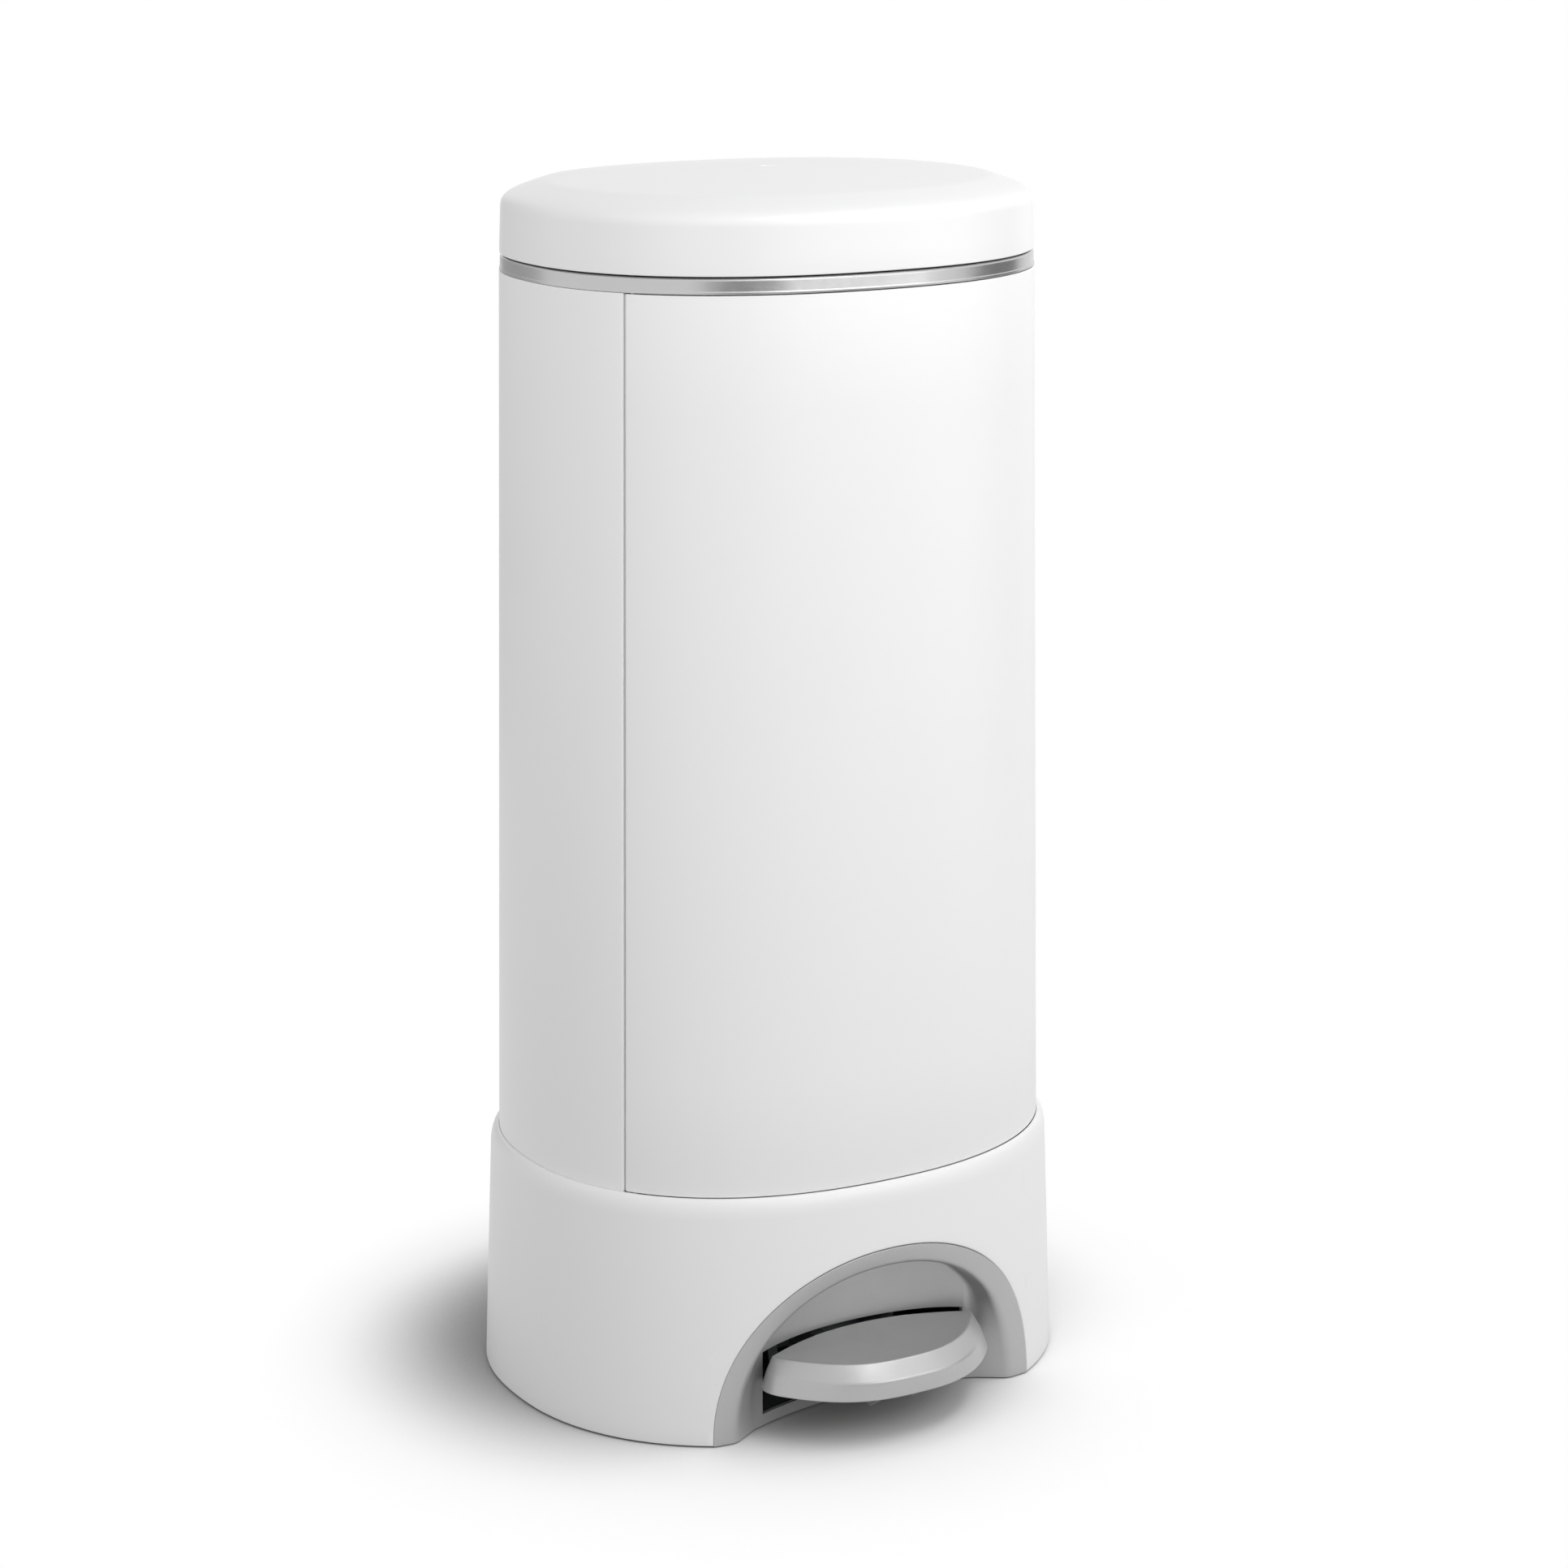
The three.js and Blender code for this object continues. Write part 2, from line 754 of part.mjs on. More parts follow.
// Rear shell: the fixed back of the body, with an inward jamb along each seam
const jambDepth = 12;
const jambWidth = THREE.MathUtils.degToRad(1.1);
const jambRise = 7;
const jambTopGap = 22.2;
const jambBottom = rimHeight + jambRise;
const jambTop = bodyTop - jambTopGap;
const shellTop = bodyTop - clearance;
const shellBottom = ledgeTop + clearance;
function rearShell() {
  const back = 2 * Math.PI - seamAngle;
  const shellSteps = 44;
  const shell = sectorShell(
    [
      [0, shellBottom],
      [0, rimHeight],
      [bodyInset(shellTop), shellTop],
      [bodyInset(shellTop) + shellWall, shellTop],
      [shellWall, rimHeight],
      [shellWall, shellBottom],
    ],
    seamAngle,
    back,
    shellSteps,
  );
  const jambProfile = [
    [bodyInset(jambBottom) + shellWall / 2, jambBottom],
    [bodyInset(jambTop) + shellWall / 2, jambTop],
    [bodyInset(jambTop) + jambDepth, jambTop],
    [bodyInset(jambBottom) + jambDepth, jambBottom],
  ];
  const right = sectorShell(jambProfile, seamAngle, seamAngle + jambWidth, 1);
  const left = sectorShell(jambProfile, back - jambWidth, back, 1);
  const screwHoles = [-housingScrewX, housingScrewX].map((x) =>
    bar(
      new THREE.Vector3(x, housingScrewTip - cutOverrun, housingScrewZ),
      new THREE.Vector3(x, housingBack, housingScrewZ),
      screwRadius + clearance,
      16,
    ),
  );
  return screwHoles.reduce((shape, hole) => shape.subtract(hole), shell.add(right).add(left));
}

// Front door: a curved panel with a hinge bead along its left edge and a stiffening foot
const doorTopGap = 0.9;
const doorTop = bodyTop - doorTopGap;
const doorFootReach = 6.2;
const doorFootThickness = 2.5;
const doorPinLength = 13;
function frontDoor() {
  const { at } = seamFrame(doorBottom);
  const turn = (doorPivotRadius + seamGap) / at.length();
  const openGap = doorEdgeGap / at.length();
  const doorSteps = 26;
  const panel = sectorShell(
    [
      [bodyInset(doorBottom), doorBottom],
      [bodyInset(doorTop), doorTop],
      [bodyInset(doorTop) + shellWall, doorTop],
      [bodyInset(doorBottom) + shellWall, doorBottom + doorFootThickness],
      [bodyInset(doorBottom) + doorFootReach, doorBottom + doorFootThickness],
      [bodyInset(doorBottom) + doorFootReach, doorBottom],
    ],
    -seamAngle + turn,
    seamAngle - openGap,
    doorSteps,
  );
  const bead = bar(doorAxis(doorBottom), doorAxis(doorTop), doorPivotRadius, 24);
  const pinHole = doorPinRadius + clearance;
  const lower = bar(
    doorAxis(doorBottom - cutOverrun),
    doorAxis(doorBottom + doorPinLength + clearance),
    pinHole,
    16,
  );
  const upper = bar(
    doorAxis(doorTop - doorPinLength - clearance),
    doorAxis(doorTop + cutOverrun),
    pinHole,
    16,
  );
  return panel.add(bead).subtract(lower).subtract(upper);
}

// Magnetic catch at the door's free edge: magnets on the right jamb, steel plates on the door
const catchHalfHeight = 13;
const catchHeightShares = [0.25, 0.78];
const catchHeights = catchHeightShares.map(
  (share) => jambBottom + share * (jambTop - jambBottom),
);
const catchPlateStart = 2;
const catchEnd = 13;
const catchPlateThickness = 1.6;
const magnetDepth = 4.2;
const catchSteps = 3;
function catchPart(middle, start, near, far) {
  const { at } = seamFrame(middle);
  const [low, high] = [middle - catchHalfHeight, middle + catchHalfHeight];
  return sectorShell(
    [
      [bodyInset(low) + near, low],
      [bodyInset(high) + near, high],
      [bodyInset(high) + far, high],
      [bodyInset(low) + far, low],
    ],
    seamAngle - catchEnd / at.length(),
    seamAngle - start / at.length(),
    catchSteps,
  );
}
const plateNear = shellWall + slideGap;
const plateFar = plateNear + catchPlateThickness;
const catchPlate = (middle) => catchPart(middle, catchPlateStart, plateNear, plateFar);
const catchMagnet = (middle) =>
  catchPart(middle, clearance, plateFar + clearance, plateFar + clearance + magnetDepth);

// Deck under the lid: a rim that carries the band, a flat deck and the funnel down to the flaps
const rimOuterInset = 9.8;
const rimInnerInset = 12.3;
const deckRimHeight = 1.9;
const deckRimTop = deckHeight + deckRimHeight;
const seatGap = 0.1;
const frameBottom = bodyTop + seatGap;
const frameFlangeReach = 16;
const funnelWall = 2.2;
const mouthPower = 2.4;
const throatPower = 3;
const frameSkirtDepth = 21;
const frameSkirtBottom = deckHeight - frameSkirtDepth;
const frameSkirtAngle = THREE.MathUtils.degToRad(72);
const rodHoleHalfWidth = 12.5;
const channelSetback = 8.2;
const channelFront = rodY - channelSetback;
const rodHoleFront = channelFront + slideGap;
const flapPivotOut = 8;
const flapPivotX = throatHalfWidth + flapPivotOut;
const flapThickness = 2;
const flapPivotZ = throatHeight - clearance - flapThickness / 2;
const earShare = 15 / 31;
const earInner = throatHalfDepth * earShare;
const earThickness = 4;
const earHalfWidth = 5;
const earOverlap = 10;
const earTop = throatHeight + earOverlap;
const flapPinRadius = 1.5;

// Inner face of the funnel at a height, as [half width, half depth, power, z]
function funnelAt(z, offset) {
  const share = THREE.MathUtils.clamp((z - throatHeight) / (deckHeight - throatHeight), 0, 1);
  return [
    THREE.MathUtils.lerp(throatHalfWidth, mouthHalfWidth, share) + offset,
    THREE.MathUtils.lerp(throatHalfDepth, mouthHalfDepth, share) + offset,
    THREE.MathUtils.lerp(throatPower, mouthPower, share),
    z,
  ];
}
const outlineOval = (inset, z) => [halfWidth - inset, halfDepth - inset, squareness, z];

function topFrame() {
  const underside = deckHeight - deckThickness;
  const body = ovalRing([
    outlineOval(rimOuterInset, frameBottom),
    outlineOval(rimOuterInset, deckRimTop),
    outlineOval(rimInnerInset, deckRimTop),
    outlineOval(rimInnerInset, deckHeight),
    funnelAt(deckHeight, 0),
    funnelAt(throatHeight, 0),
    funnelAt(throatHeight, funnelWall),
    funnelAt(underside, funnelWall),
    outlineOval(frameFlangeReach, underside),
    outlineOval(frameFlangeReach, frameBottom),
  ]);
  const skirtOuter = bodyInset(shellTop) + shellWall + slideGap;
  const skirtSteps = 36;
  const skirt = sectorShell(
    [
      [skirtOuter, frameSkirtBottom],
      [skirtOuter, underside + deckThickness / 2],
      [skirtOuter + shellWall, underside + deckThickness / 2],
      [skirtOuter + shellWall, frameSkirtBottom],
    ],
    frameSkirtAngle,
    2 * Math.PI - frameSkirtAngle,
    skirtSteps,
  );
  const ears = [-1, 1].flatMap((sx) =>
    [-1, 1].map((sy) => {
      const x = [sx * (flapPivotX + earHalfWidth), sx * (throatHalfWidth + funnelWall + slideGap)];
      const y = [sy * earInner, sy * (earInner + earThickness)];
      return block(
        Math.min(...x),
        Math.min(...y),
        flapPivotZ - earHalfWidth,
        Math.max(...x),
        Math.max(...y),
        earTop,
      );
    }),
  );
  const well = ovalColumn([
    funnelAt(flapPivotZ - earHalfWidth - cutOverrun, 0),
    funnelAt(throatHeight, 0),
    funnelAt(deckHeight, 0),
  ]);
  const rodHole = block(
    -rodHoleHalfWidth,
    rodHoleFront,
    frameSkirtBottom,
    rodHoleHalfWidth,
    halfDepth - skirtOuter - shellWall,
    deckHeight + cutOverrun,
  );
  const pinHole = bar(
    doorAxis(frameBottom - cutOverrun),
    doorAxis(deckHeight + cutOverrun),
    doorPinRadius + clearance,
    16,
  );
  const flapHoles = [-flapPivotX, flapPivotX].map((x) =>
    bar(
      new THREE.Vector3(x, -earInner - earThickness - cutOverrun, flapPivotZ),
      new THREE.Vector3(x, earInner + earThickness + cutOverrun, flapPivotZ),
      flapPinRadius + clearance,
      16,
    ),
  );
  const joined = [skirt, ...ears].reduce((shape, piece) => shape.add(piece), body);
  return [well, rodHole, pinHole, ...flapHoles].reduce(
    (shape, cut) => shape.subtract(cut),
    joined,
  );
}

// Band: the thin silver trim between lid and body, with a lip over the deck's rim
const bandInset = 8.5;
const bandWall = 1;
const bandBottom = frameBottom;
const bandTop = bodyTop + bandHeight;
const bandLip = 1;
const bandTopInset = 0.4;
const bandShape = () =>
  ringShell([
    [bandInset, bandBottom],
    [bandInset + bandTopInset, bandTop - bandLip],
    [bandInset + bandTopInset + bandLip, bandTop],
    [rimInnerInset, bandTop],
    [rimInnerInset, deckRimTop + clearance],
    [rimOuterInset - clearance, deckRimTop + clearance],
    [rimOuterInset - clearance, bandBottom],
  ]);

// Bag ring: drops into the mouth and grips the turned-over edge of the bag
const ringFlange = 8;
const ringWall = 2;
const ringDepth = 12;
function bagRing() {
  const foot = deckHeight + clearance;
  const lowered = deckHeight - ringDepth;
  const [mouthA, mouthB] = funnelAt(deckHeight, 0);
  return ovalRing([
    [mouthA + ringFlange, mouthB + ringFlange, mouthPower, foot],
    [mouthA + ringFlange, mouthB + ringFlange, mouthPower, foot + ringWall],
    [mouthA - ringWall * 2, mouthB - ringWall * 2, mouthPower, foot + ringWall],
    funnelAt(lowered, -slideGap * 2 - ringWall),
    funnelAt(lowered, -slideGap * 2),
    [mouthA - slideGap * 2, mouthB - slideGap * 2, mouthPower, foot],
  ]);
}

// Sealing flap: half of the throat's shape, on a barrel that turns on a pin at its outer side
const flapBarrelRadius = 3;
const flapHalfDepth = throatHalfDepth + funnelWall / 2;
const flapReach = throatHalfWidth + funnelWall / 2;
const flapMeeting = 0.5;
function sealFlap(side) {
  const flapSteps = 24;
  const outline = spread(-Math.PI / 2, Math.PI / 2, flapSteps).map((t) => {
    const p = ovalPoint(t + Math.PI / 2, flapReach, flapHalfDepth, throatPower, 0);
    return [Math.max(p.x, flapMeeting), p.y];
  });
  const top = flapPivotZ + flapThickness / 2;
  const barrelHalf = earInner - clearance;
  const leaf = plate(outline, top - flapThickness, top);
  const tab = block(
    flapReach / 2,
    -barrelHalf,
    top - flapThickness,
    flapPivotX,
    barrelHalf,
    top,
  );
  const barrel = bar(
    new THREE.Vector3(flapPivotX, -barrelHalf, flapPivotZ),
    new THREE.Vector3(flapPivotX, barrelHalf, flapPivotZ),
    flapBarrelRadius,
    20,
  );
  const bore = bar(
    new THREE.Vector3(flapPivotX, -earInner, flapPivotZ),
    new THREE.Vector3(flapPivotX, earInner, flapPivotZ),
    flapPinRadius + clearance,
    16,
  );
  const flap = leaf.add(tab).add(barrel).subtract(bore);
  return side > 0 ? flap : flap.rotate([0, 0, 180]);
}

const springTurns = 3;
const springPitch = 1.5;
const flapPinOut = 1;
const flapSpringStart = earInner + earThickness + flapPinOut;
const flapPinEnd = flapSpringStart + (springTurns + 1) * springPitch;
const flapPin = (side) =>
  bar(
    new THREE.Vector3(side * flapPivotX, -earInner - earThickness - flapPinOut, flapPivotZ),
    new THREE.Vector3(side * flapPivotX, flapPinEnd, flapPivotZ),
    flapPinRadius,
    16,
  );

// Coil: an unbroken wire wound about an axis, worked out from its turns and pitch
const coilSteps = 8;
const wireSides = 5;
function coil(radius, wire, pitch, turns) {
  const loops = spread(0, turns * 2 * Math.PI, turns * coilSteps).map((t) => {
    const out = new THREE.Vector3(Math.cos(t), Math.sin(t), 0);
    const rise = (pitch * t) / (2 * Math.PI);
    return around(wireSides).map((s) =>
      new THREE.Vector3(0, 0, rise + wire * Math.sin(s)).addScaledVector(
        out,
        radius + wire * Math.cos(s),
      ),
    );
  });
  reportGap(loops, wire);
  return loops;
}

// Least gap between turns of a coil, measured between points of the wire half a turn apart or more
function reportGap(loops, wire) {
  const middles = loops.map((loop) =>
    loop.reduce((sum, p) => sum.add(p), new THREE.Vector3()).divideScalar(loop.length),
  );
  let least = Infinity;
  middles.forEach((p, i) => {
    for (let j = i + coilSteps / 2; j < middles.length; j += 1) {
      least = Math.min(least, p.distanceTo(middles[j]) - 2 * wire);
    }
  });
  console.log("least gap between turns: " + least.toFixed(2) + " mm");
}
const flapWire = 0.5;
const flapCoilRadius = flapPinRadius + flapWire + clearance * 2;
const flapSpring = (side) =>
  skin(
    coil(flapCoilRadius, flapWire, springPitch, springTurns).map((loop) =>
      loop.map(
        (p) =>
          new THREE.Vector3(
            side * flapPivotX + p.x,
            flapSpringStart + flapWire + p.z,
            flapPivotZ - p.y,
          ),
      ),
    ),
    false,
  );

// Lift rod: from the lever's nose up to a flat head under the lid's crank
const crankPinRadius = 2;
const crankY = lidHingeY - crankReach;
const crankZ = lidHingeZ - crankDrop;
const headTop = crankZ - crankPinRadius - clearance;
const headThickness = 3;
const headHalfWidth = 7.5;
const headFrontReach = 5;
const headBackReach = 8.6;
const headFront = rodY - headFrontReach;
const headBack = rodY + headBackReach;
const rodFootRadius = 6;
const rodFootThickness = 4;
function liftRod() {
  const foot = bar(
    new THREE.Vector3(0, rodY, rodFootZ),
    new THREE.Vector3(0, rodY, rodFootZ + rodFootThickness),
    rodFootRadius,
    24,
  );
  const shaft = bar(
    new THREE.Vector3(0, rodY, rodFootZ + rodFootThickness / 2),
    new THREE.Vector3(0, rodY, headTop - headThickness / 2),
    rodRadius,
    20,
  );
  const head = block(
    -headHalfWidth,
    headFront,
    headTop - headThickness,
    headHalfWidth,
    headBack,
    headTop,
  );
  return foot.add(shaft).add(head);
}

// Rod channel, guide, return spring and the clip that the spring pushes down on
const channelHalfWidth = 12;
const channelWall = 2;
const channelBottom = trayBottom + trayThickness + clearance;
const channelTop = deckHeight - deckThickness - clearance;
const channelFoot = trayBottom + trayHeight + clearance;
const wallBow = 0.4;
const channelBackAt = (z) => halfDepth - bodyInset(z) - shellWall - clearance - wallBow;
const channelNeck = frameSkirtBottom - clearance;
function rodCover() {
  const footBack = halfDepth - trayInset - trayWall - clearance - wallBow;
  const sides = new THREE.Shape([
    new THREE.Vector2(channelFront, channelBottom),
    new THREE.Vector2(footBack, channelBottom),
    new THREE.Vector2(footBack, channelFoot),
    new THREE.Vector2(channelBackAt(channelFoot), channelFoot),
    new THREE.Vector2(channelBackAt(channelNeck), channelNeck),
    new THREE.Vector2(headBack, channelNeck),
    new THREE.Vector2(headBack, channelTop),
    new THREE.Vector2(channelFront, channelTop),
  ]);
  const body = new THREE.ExtrudeGeometry(sides, {
    depth: 2 * channelHalfWidth,
    bevelEnabled: false,
  });
  body.rotateX(Math.PI / 2).rotateZ(Math.PI / 2).translate(-channelHalfWidth, 0, 0);
  const inner = channelHalfWidth - channelWall;
  return solid(body).subtract(
    block(
      -inner,
      channelFront + channelWall,
      channelBottom - cutOverrun,
      inner,
      halfDepth,
      channelTop + cutOverrun,
    ),
  );
}

const guideDepth = 41;
const guideTop = deckHeight - guideDepth;
const guideThickness = 8;
function rodGuide() {
  const half = channelHalfWidth - channelWall - clearance;
  const guide = block(
    -half,
    channelFront + channelWall + clearance,
    guideTop - guideThickness,
    half,
    channelBackAt(guideTop),
    guideTop,
  );
  const bore = bar(
    new THREE.Vector3(0, rodY, guideTop - guideThickness - cutOverrun),
    new THREE.Vector3(0, rodY, guideTop + cutOverrun),
    rodRadius + slideGap,
    20,
  );
  return guide.subtract(bore);
}

const rodSpringTurns = 9;
const rodSpringPitch = 6.2;
const rodWire = 0.7;
const rodSpringRadius = rodRadius + rodWire + clearance * 2;
const rodSpringTop = guideTop - guideThickness - clearance - rodWire;
const rodSpringBottom = rodSpringTop - rodSpringTurns * rodSpringPitch;
const rodSpring = () =>
  skin(
    coil(rodSpringRadius, rodWire, rodSpringPitch, rodSpringTurns).map((loop) =>
      loop.map((p) => new THREE.Vector3(p.x, rodY + p.y, rodSpringBottom + p.z)),
    ),
    false,
  );

const clipThickness = 3;
const clipRadius = 5.4;
const springClip = () => {
  const top = rodSpringBottom - rodWire - clearance;
  return turned(
    [
      [rodRadius + clearance, top - clipThickness],
      [clipRadius, top - clipThickness],
      [clipRadius, top],
      [rodRadius + clearance, top],
    ],
    20,
  ).translate([0, rodY, 0]);
};

// Hinge housing on the back of the body, with two pairs of fixed knuckles, its screws and the lid's pin
const housingHalfWidth = 42;
const housingDrop = 31.2;
const housingThickness = 19.4;
const housingProud = 2.4;
const housingBottom = bodyTop - housingDrop;
const housingBack = halfDepth + housingProud;
const housingFront = housingBack - housingThickness;
const knuckleNeck = 1;
const housingTop = lidHingeZ - knuckleRadius - knuckleNeck;
const earGap = 0.4;
const lidEarStart = 14;
const lidEarEnd = 25;
const housingScrewX = 30;
const housingScrewRise = 8;
const housingScrewLength = 17.9;
const housingScrewZ = housingBottom + housingScrewRise;
const housingScrewTip = housingBack - housingScrewLength;
const housingScrewHead = 4;
const housingScrewSink = 2.5;
function hingeHousing() {
  const body = block(
    -housingHalfWidth,
    housingFront,
    housingBottom,
    housingHalfWidth,
    housingBack,
    housingTop,
  ).subtract(
    ovalColumn(
      [housingBottom - cutOverrun, bodyTop, housingTop + cutOverrun].map((z) =>
        outlineOval(Math.min(bodyInset(z), bodyTaper) - clearance, z),
      ),
    ),
  );
  const knuckles = [
    [-housingHalfWidth, -lidEarEnd - earGap],
    [-lidEarStart + earGap, lidEarStart - earGap],
    [lidEarEnd + earGap, housingHalfWidth],
  ].map(([x0, x1]) =>
    bar(
      new THREE.Vector3(x0, lidHingeY, lidHingeZ),
      new THREE.Vector3(x1, lidHingeY, lidHingeZ),
      knuckleRadius,
      24,
    ).add(
      block(
        x0,
        lidHingeY - knuckleRadius + clearance / 2,
        housingTop - clearance,
        x1,
        lidHingeY + knuckleRadius - clearance / 2,
        lidHingeZ,
      ),
    ),
  );
  const bore = bar(
    new THREE.Vector3(-housingHalfWidth - cutOverrun, lidHingeY, lidHingeZ),
    new THREE.Vector3(housingHalfWidth + cutOverrun, lidHingeY, lidHingeZ),
    lidPinRadius + clearance,
    20,
  );
  const screwHoles = [-housingScrewX, housingScrewX].flatMap((x) => [
    bar(
      new THREE.Vector3(x, housingFront - cutOverrun, housingScrewZ),
      new THREE.Vector3(x, housingBack + cutOverrun, housingScrewZ),
      screwRadius + clearance,
      16,
    ),
    bar(
      new THREE.Vector3(x, housingBack - housingScrewSink, housingScrewZ),
      new THREE.Vector3(x, housingBack + cutOverrun, housingScrewZ),
      housingScrewHead + clearance,
      20,
    ),
  ]);
  const joined = knuckles.reduce((shape, knuckle) => shape.add(knuckle), body);
  return [bore, ...screwHoles].reduce((shape, cut) => shape.subtract(cut), joined);
}

const housingScrew = (side) => {
  const seat = housingBack - housingScrewSink + clearance;
  const x = side * housingScrewX;
  return bar(
    new THREE.Vector3(x, housingScrewTip, housingScrewZ),
    new THREE.Vector3(x, seat + clearance, housingScrewZ),
    screwRadius,
    12,
  ).add(
    bar(
      new THREE.Vector3(x, seat, housingScrewZ),
      new THREE.Vector3(x, housingBack - clearance, housingScrewZ),
      housingScrewHead,
      20,
    ),
  );
};

const lidPin = () =>
  bar(
    new THREE.Vector3(-housingHalfWidth + clearance, lidHingeY, lidHingeZ),
    new THREE.Vector3(housingHalfWidth - clearance, lidHingeY, lidHingeZ),
    lidPinRadius,
    20,
  );

// Lid: side wall, rounded corner, sloping shoulder, soft crease and a nearly flat crown
const lidBottom = bandTop + lidGap;
const wallTop = lidBottom + lidWallHeight;
const wallTopInset = lidInset + lidDraft;
const creaseInset = wallTopInset + shoulderWidth;
const creaseHeight = wallTop + shoulderHeight;
const crownTop = creaseHeight + crownHeight;
const cornerSteps = 5;
const innerCornerSteps = 3;
const crownShares = [0.93, 0.65, 0.3];
const innerCrownShares = [0.8, 0.4];
const cornerRiseShare = 0.5;
const shoulderRunShare = 0.25;
const shoulderRiseShare = 0.62;

// Section of the lid's outer face, or of its inner one at an offset: wall, Bezier corner with the
// shoulder, and crown
function lidSection(offset, steps, shares) {
  const corner = new THREE.CubicBezierCurve(
    new THREE.Vector2(wallTopInset + offset, wallTop - offset / 2),
    new THREE.Vector2(
      wallTopInset + offset,
      wallTop + shoulderHeight * cornerRiseShare - offset,
    ),
    new THREE.Vector2(
      wallTopInset + shoulderWidth * shoulderRunShare + offset / 2,
      wallTop + shoulderHeight * shoulderRiseShare - offset,
    ),
    new THREE.Vector2(creaseInset, creaseHeight - offset),
  );
  const side = corner.getPoints(steps).map((p) => [p.x, p.y]);
  const crown = shares.map((share) => [
    creaseInset,
    creaseHeight - offset + crownHeight * (1 - share ** 2),
    share,
  ]);
  return [[lidInset + offset, lidBottom], ...side, ...crown, [0, crownTop - offset, 0]];
}

const lidEarRoot = 1.5;
const lidEarDrop = 1.5;
const lidEarBottom = lidHingeZ - lidEarDrop;
const lidEarTop = lidHingeZ + knuckleRadius;
function lidShell() {
  const shell = ringShell([
    ...lidSection(0, cornerSteps, crownShares),
    ...lidSection(lidWall, innerCornerSteps, innerCrownShares).reverse(),
  ]);
  const ears = [
    [-lidEarEnd, -lidEarStart],
    [lidEarStart, lidEarEnd],
  ].map(([x0, x1]) =>
    bar(
      new THREE.Vector3(x0, lidHingeY, lidHingeZ),
      new THREE.Vector3(x1, lidHingeY, lidHingeZ),
      knuckleRadius,
      24,
    ).add(
      block(
        x0,
        halfDepth - lidInset - lidEarRoot,
        lidEarBottom,
        x1,
        lidHingeY,
        lidEarTop,
      ),
    ),
  );
  const bore = bar(
    new THREE.Vector3(-housingHalfWidth, lidHingeY, lidHingeZ),
    new THREE.Vector3(housingHalfWidth, lidHingeY, lidHingeZ),
    lidPinRadius + clearance,
    20,
  );
  return ears.reduce((shape, ear) => shape.add(ear), shell).subtract(bore);
}

// Lid liner: inner panel with a rib for the gasket and a crank that the lift rod pushes up
const linerRise = 4.5;
const linerBottom = lidBottom + linerRise;
const linerThickness = 2.5;
const linerInset = lidInset + lidWall + slideGap;
const gasketInset = 33.5;
const gasketWidth = 4;
const gasketBottom = deckHeight + slideGap;
const gasketHeight = 3;
const gasketTop = gasketBottom + gasketHeight;
const ribMargin = 1;
const ribInset = gasketInset - ribMargin;
const ribWidth = gasketWidth + 2 * ribMargin;
const cheekInner = 8.2;
const cheekThickness = 2.5;
const cheekHalfLength = 4;
const cheekBottom = crankZ - crankPinRadius - ribMargin;
function lidLiner() {
  const panel = ringShell([
    [0, linerBottom, 0],
    [ribInset + ribWidth, linerBottom],
    [ribInset + ribWidth, gasketTop + clearance],
    [ribInset, gasketTop + clearance],
    [ribInset, linerBottom],
    [linerInset, linerBottom],
    [linerInset, linerBottom + linerThickness],
    [0, linerBottom + linerThickness, 0],
  ]);
  const cheeks = [-cheekInner - cheekThickness, cheekInner].map((x) =>
    block(
      x,
      crankY - cheekHalfLength,
      cheekBottom,
      x + cheekThickness,
      crankY + cheekHalfLength,
      linerBottom + linerThickness / 2,
    ),
  );
  const pin = bar(
    new THREE.Vector3(-cheekInner - cheekThickness / 2, crankY, crankZ),
    new THREE.Vector3(cheekInner + cheekThickness / 2, crankY, crankZ),
    crankPinRadius,
    20,
  );
  return [...cheeks, pin].reduce((shape, piece) => shape.add(piece), panel);
}

const lidGasket = () =>
  ringShell([
    [gasketInset, gasketBottom],
    [gasketInset + gasketWidth, gasketBottom],
    [gasketInset + gasketWidth, gasketTop],
    [gasketInset, gasketTop],
  ]);

// Deodoriser under the lid: a cup, a powder disc and a slotted cover that turns to release it
const cupRadius = 40;
const cupWall = 2.5;
const cupTop = linerBottom - clearance;
const cupHeight = 13;
const cupBottom = cupTop - cupHeight;
const coverThickness = 2.2;
const coverRadius = cupRadius - cupWall - slideGap;
const coverTop = cupBottom + coverThickness;
const discRadius = coverRadius - coverThickness;
const discBottom = coverTop + clearance;
const discTop = cupTop - cupWall - clearance;
const cupShape = () =>
  turned(
    [
      [0, cupTop],
      [cupRadius, cupTop],
      [cupRadius, cupBottom],
      [cupRadius - cupWall, cupBottom],
      [cupRadius - cupWall, cupTop - cupWall],
      [0, cupTop - cupWall],
    ],
    40,
  );
const powderDisc = () =>
  turned(
    [
      [0, discBottom],
      [discRadius, discBottom],
      [discRadius, discTop],
      [0, discTop],
    ],
    36,
  );
const coverSlots = 8;
const slotStart = 12;
const slotEnd = 32;
const slotHalfWidth = 2.4;
const gripHalfLength = 9;
const gripHalfWidth = 2;
const gripDepth = 5;
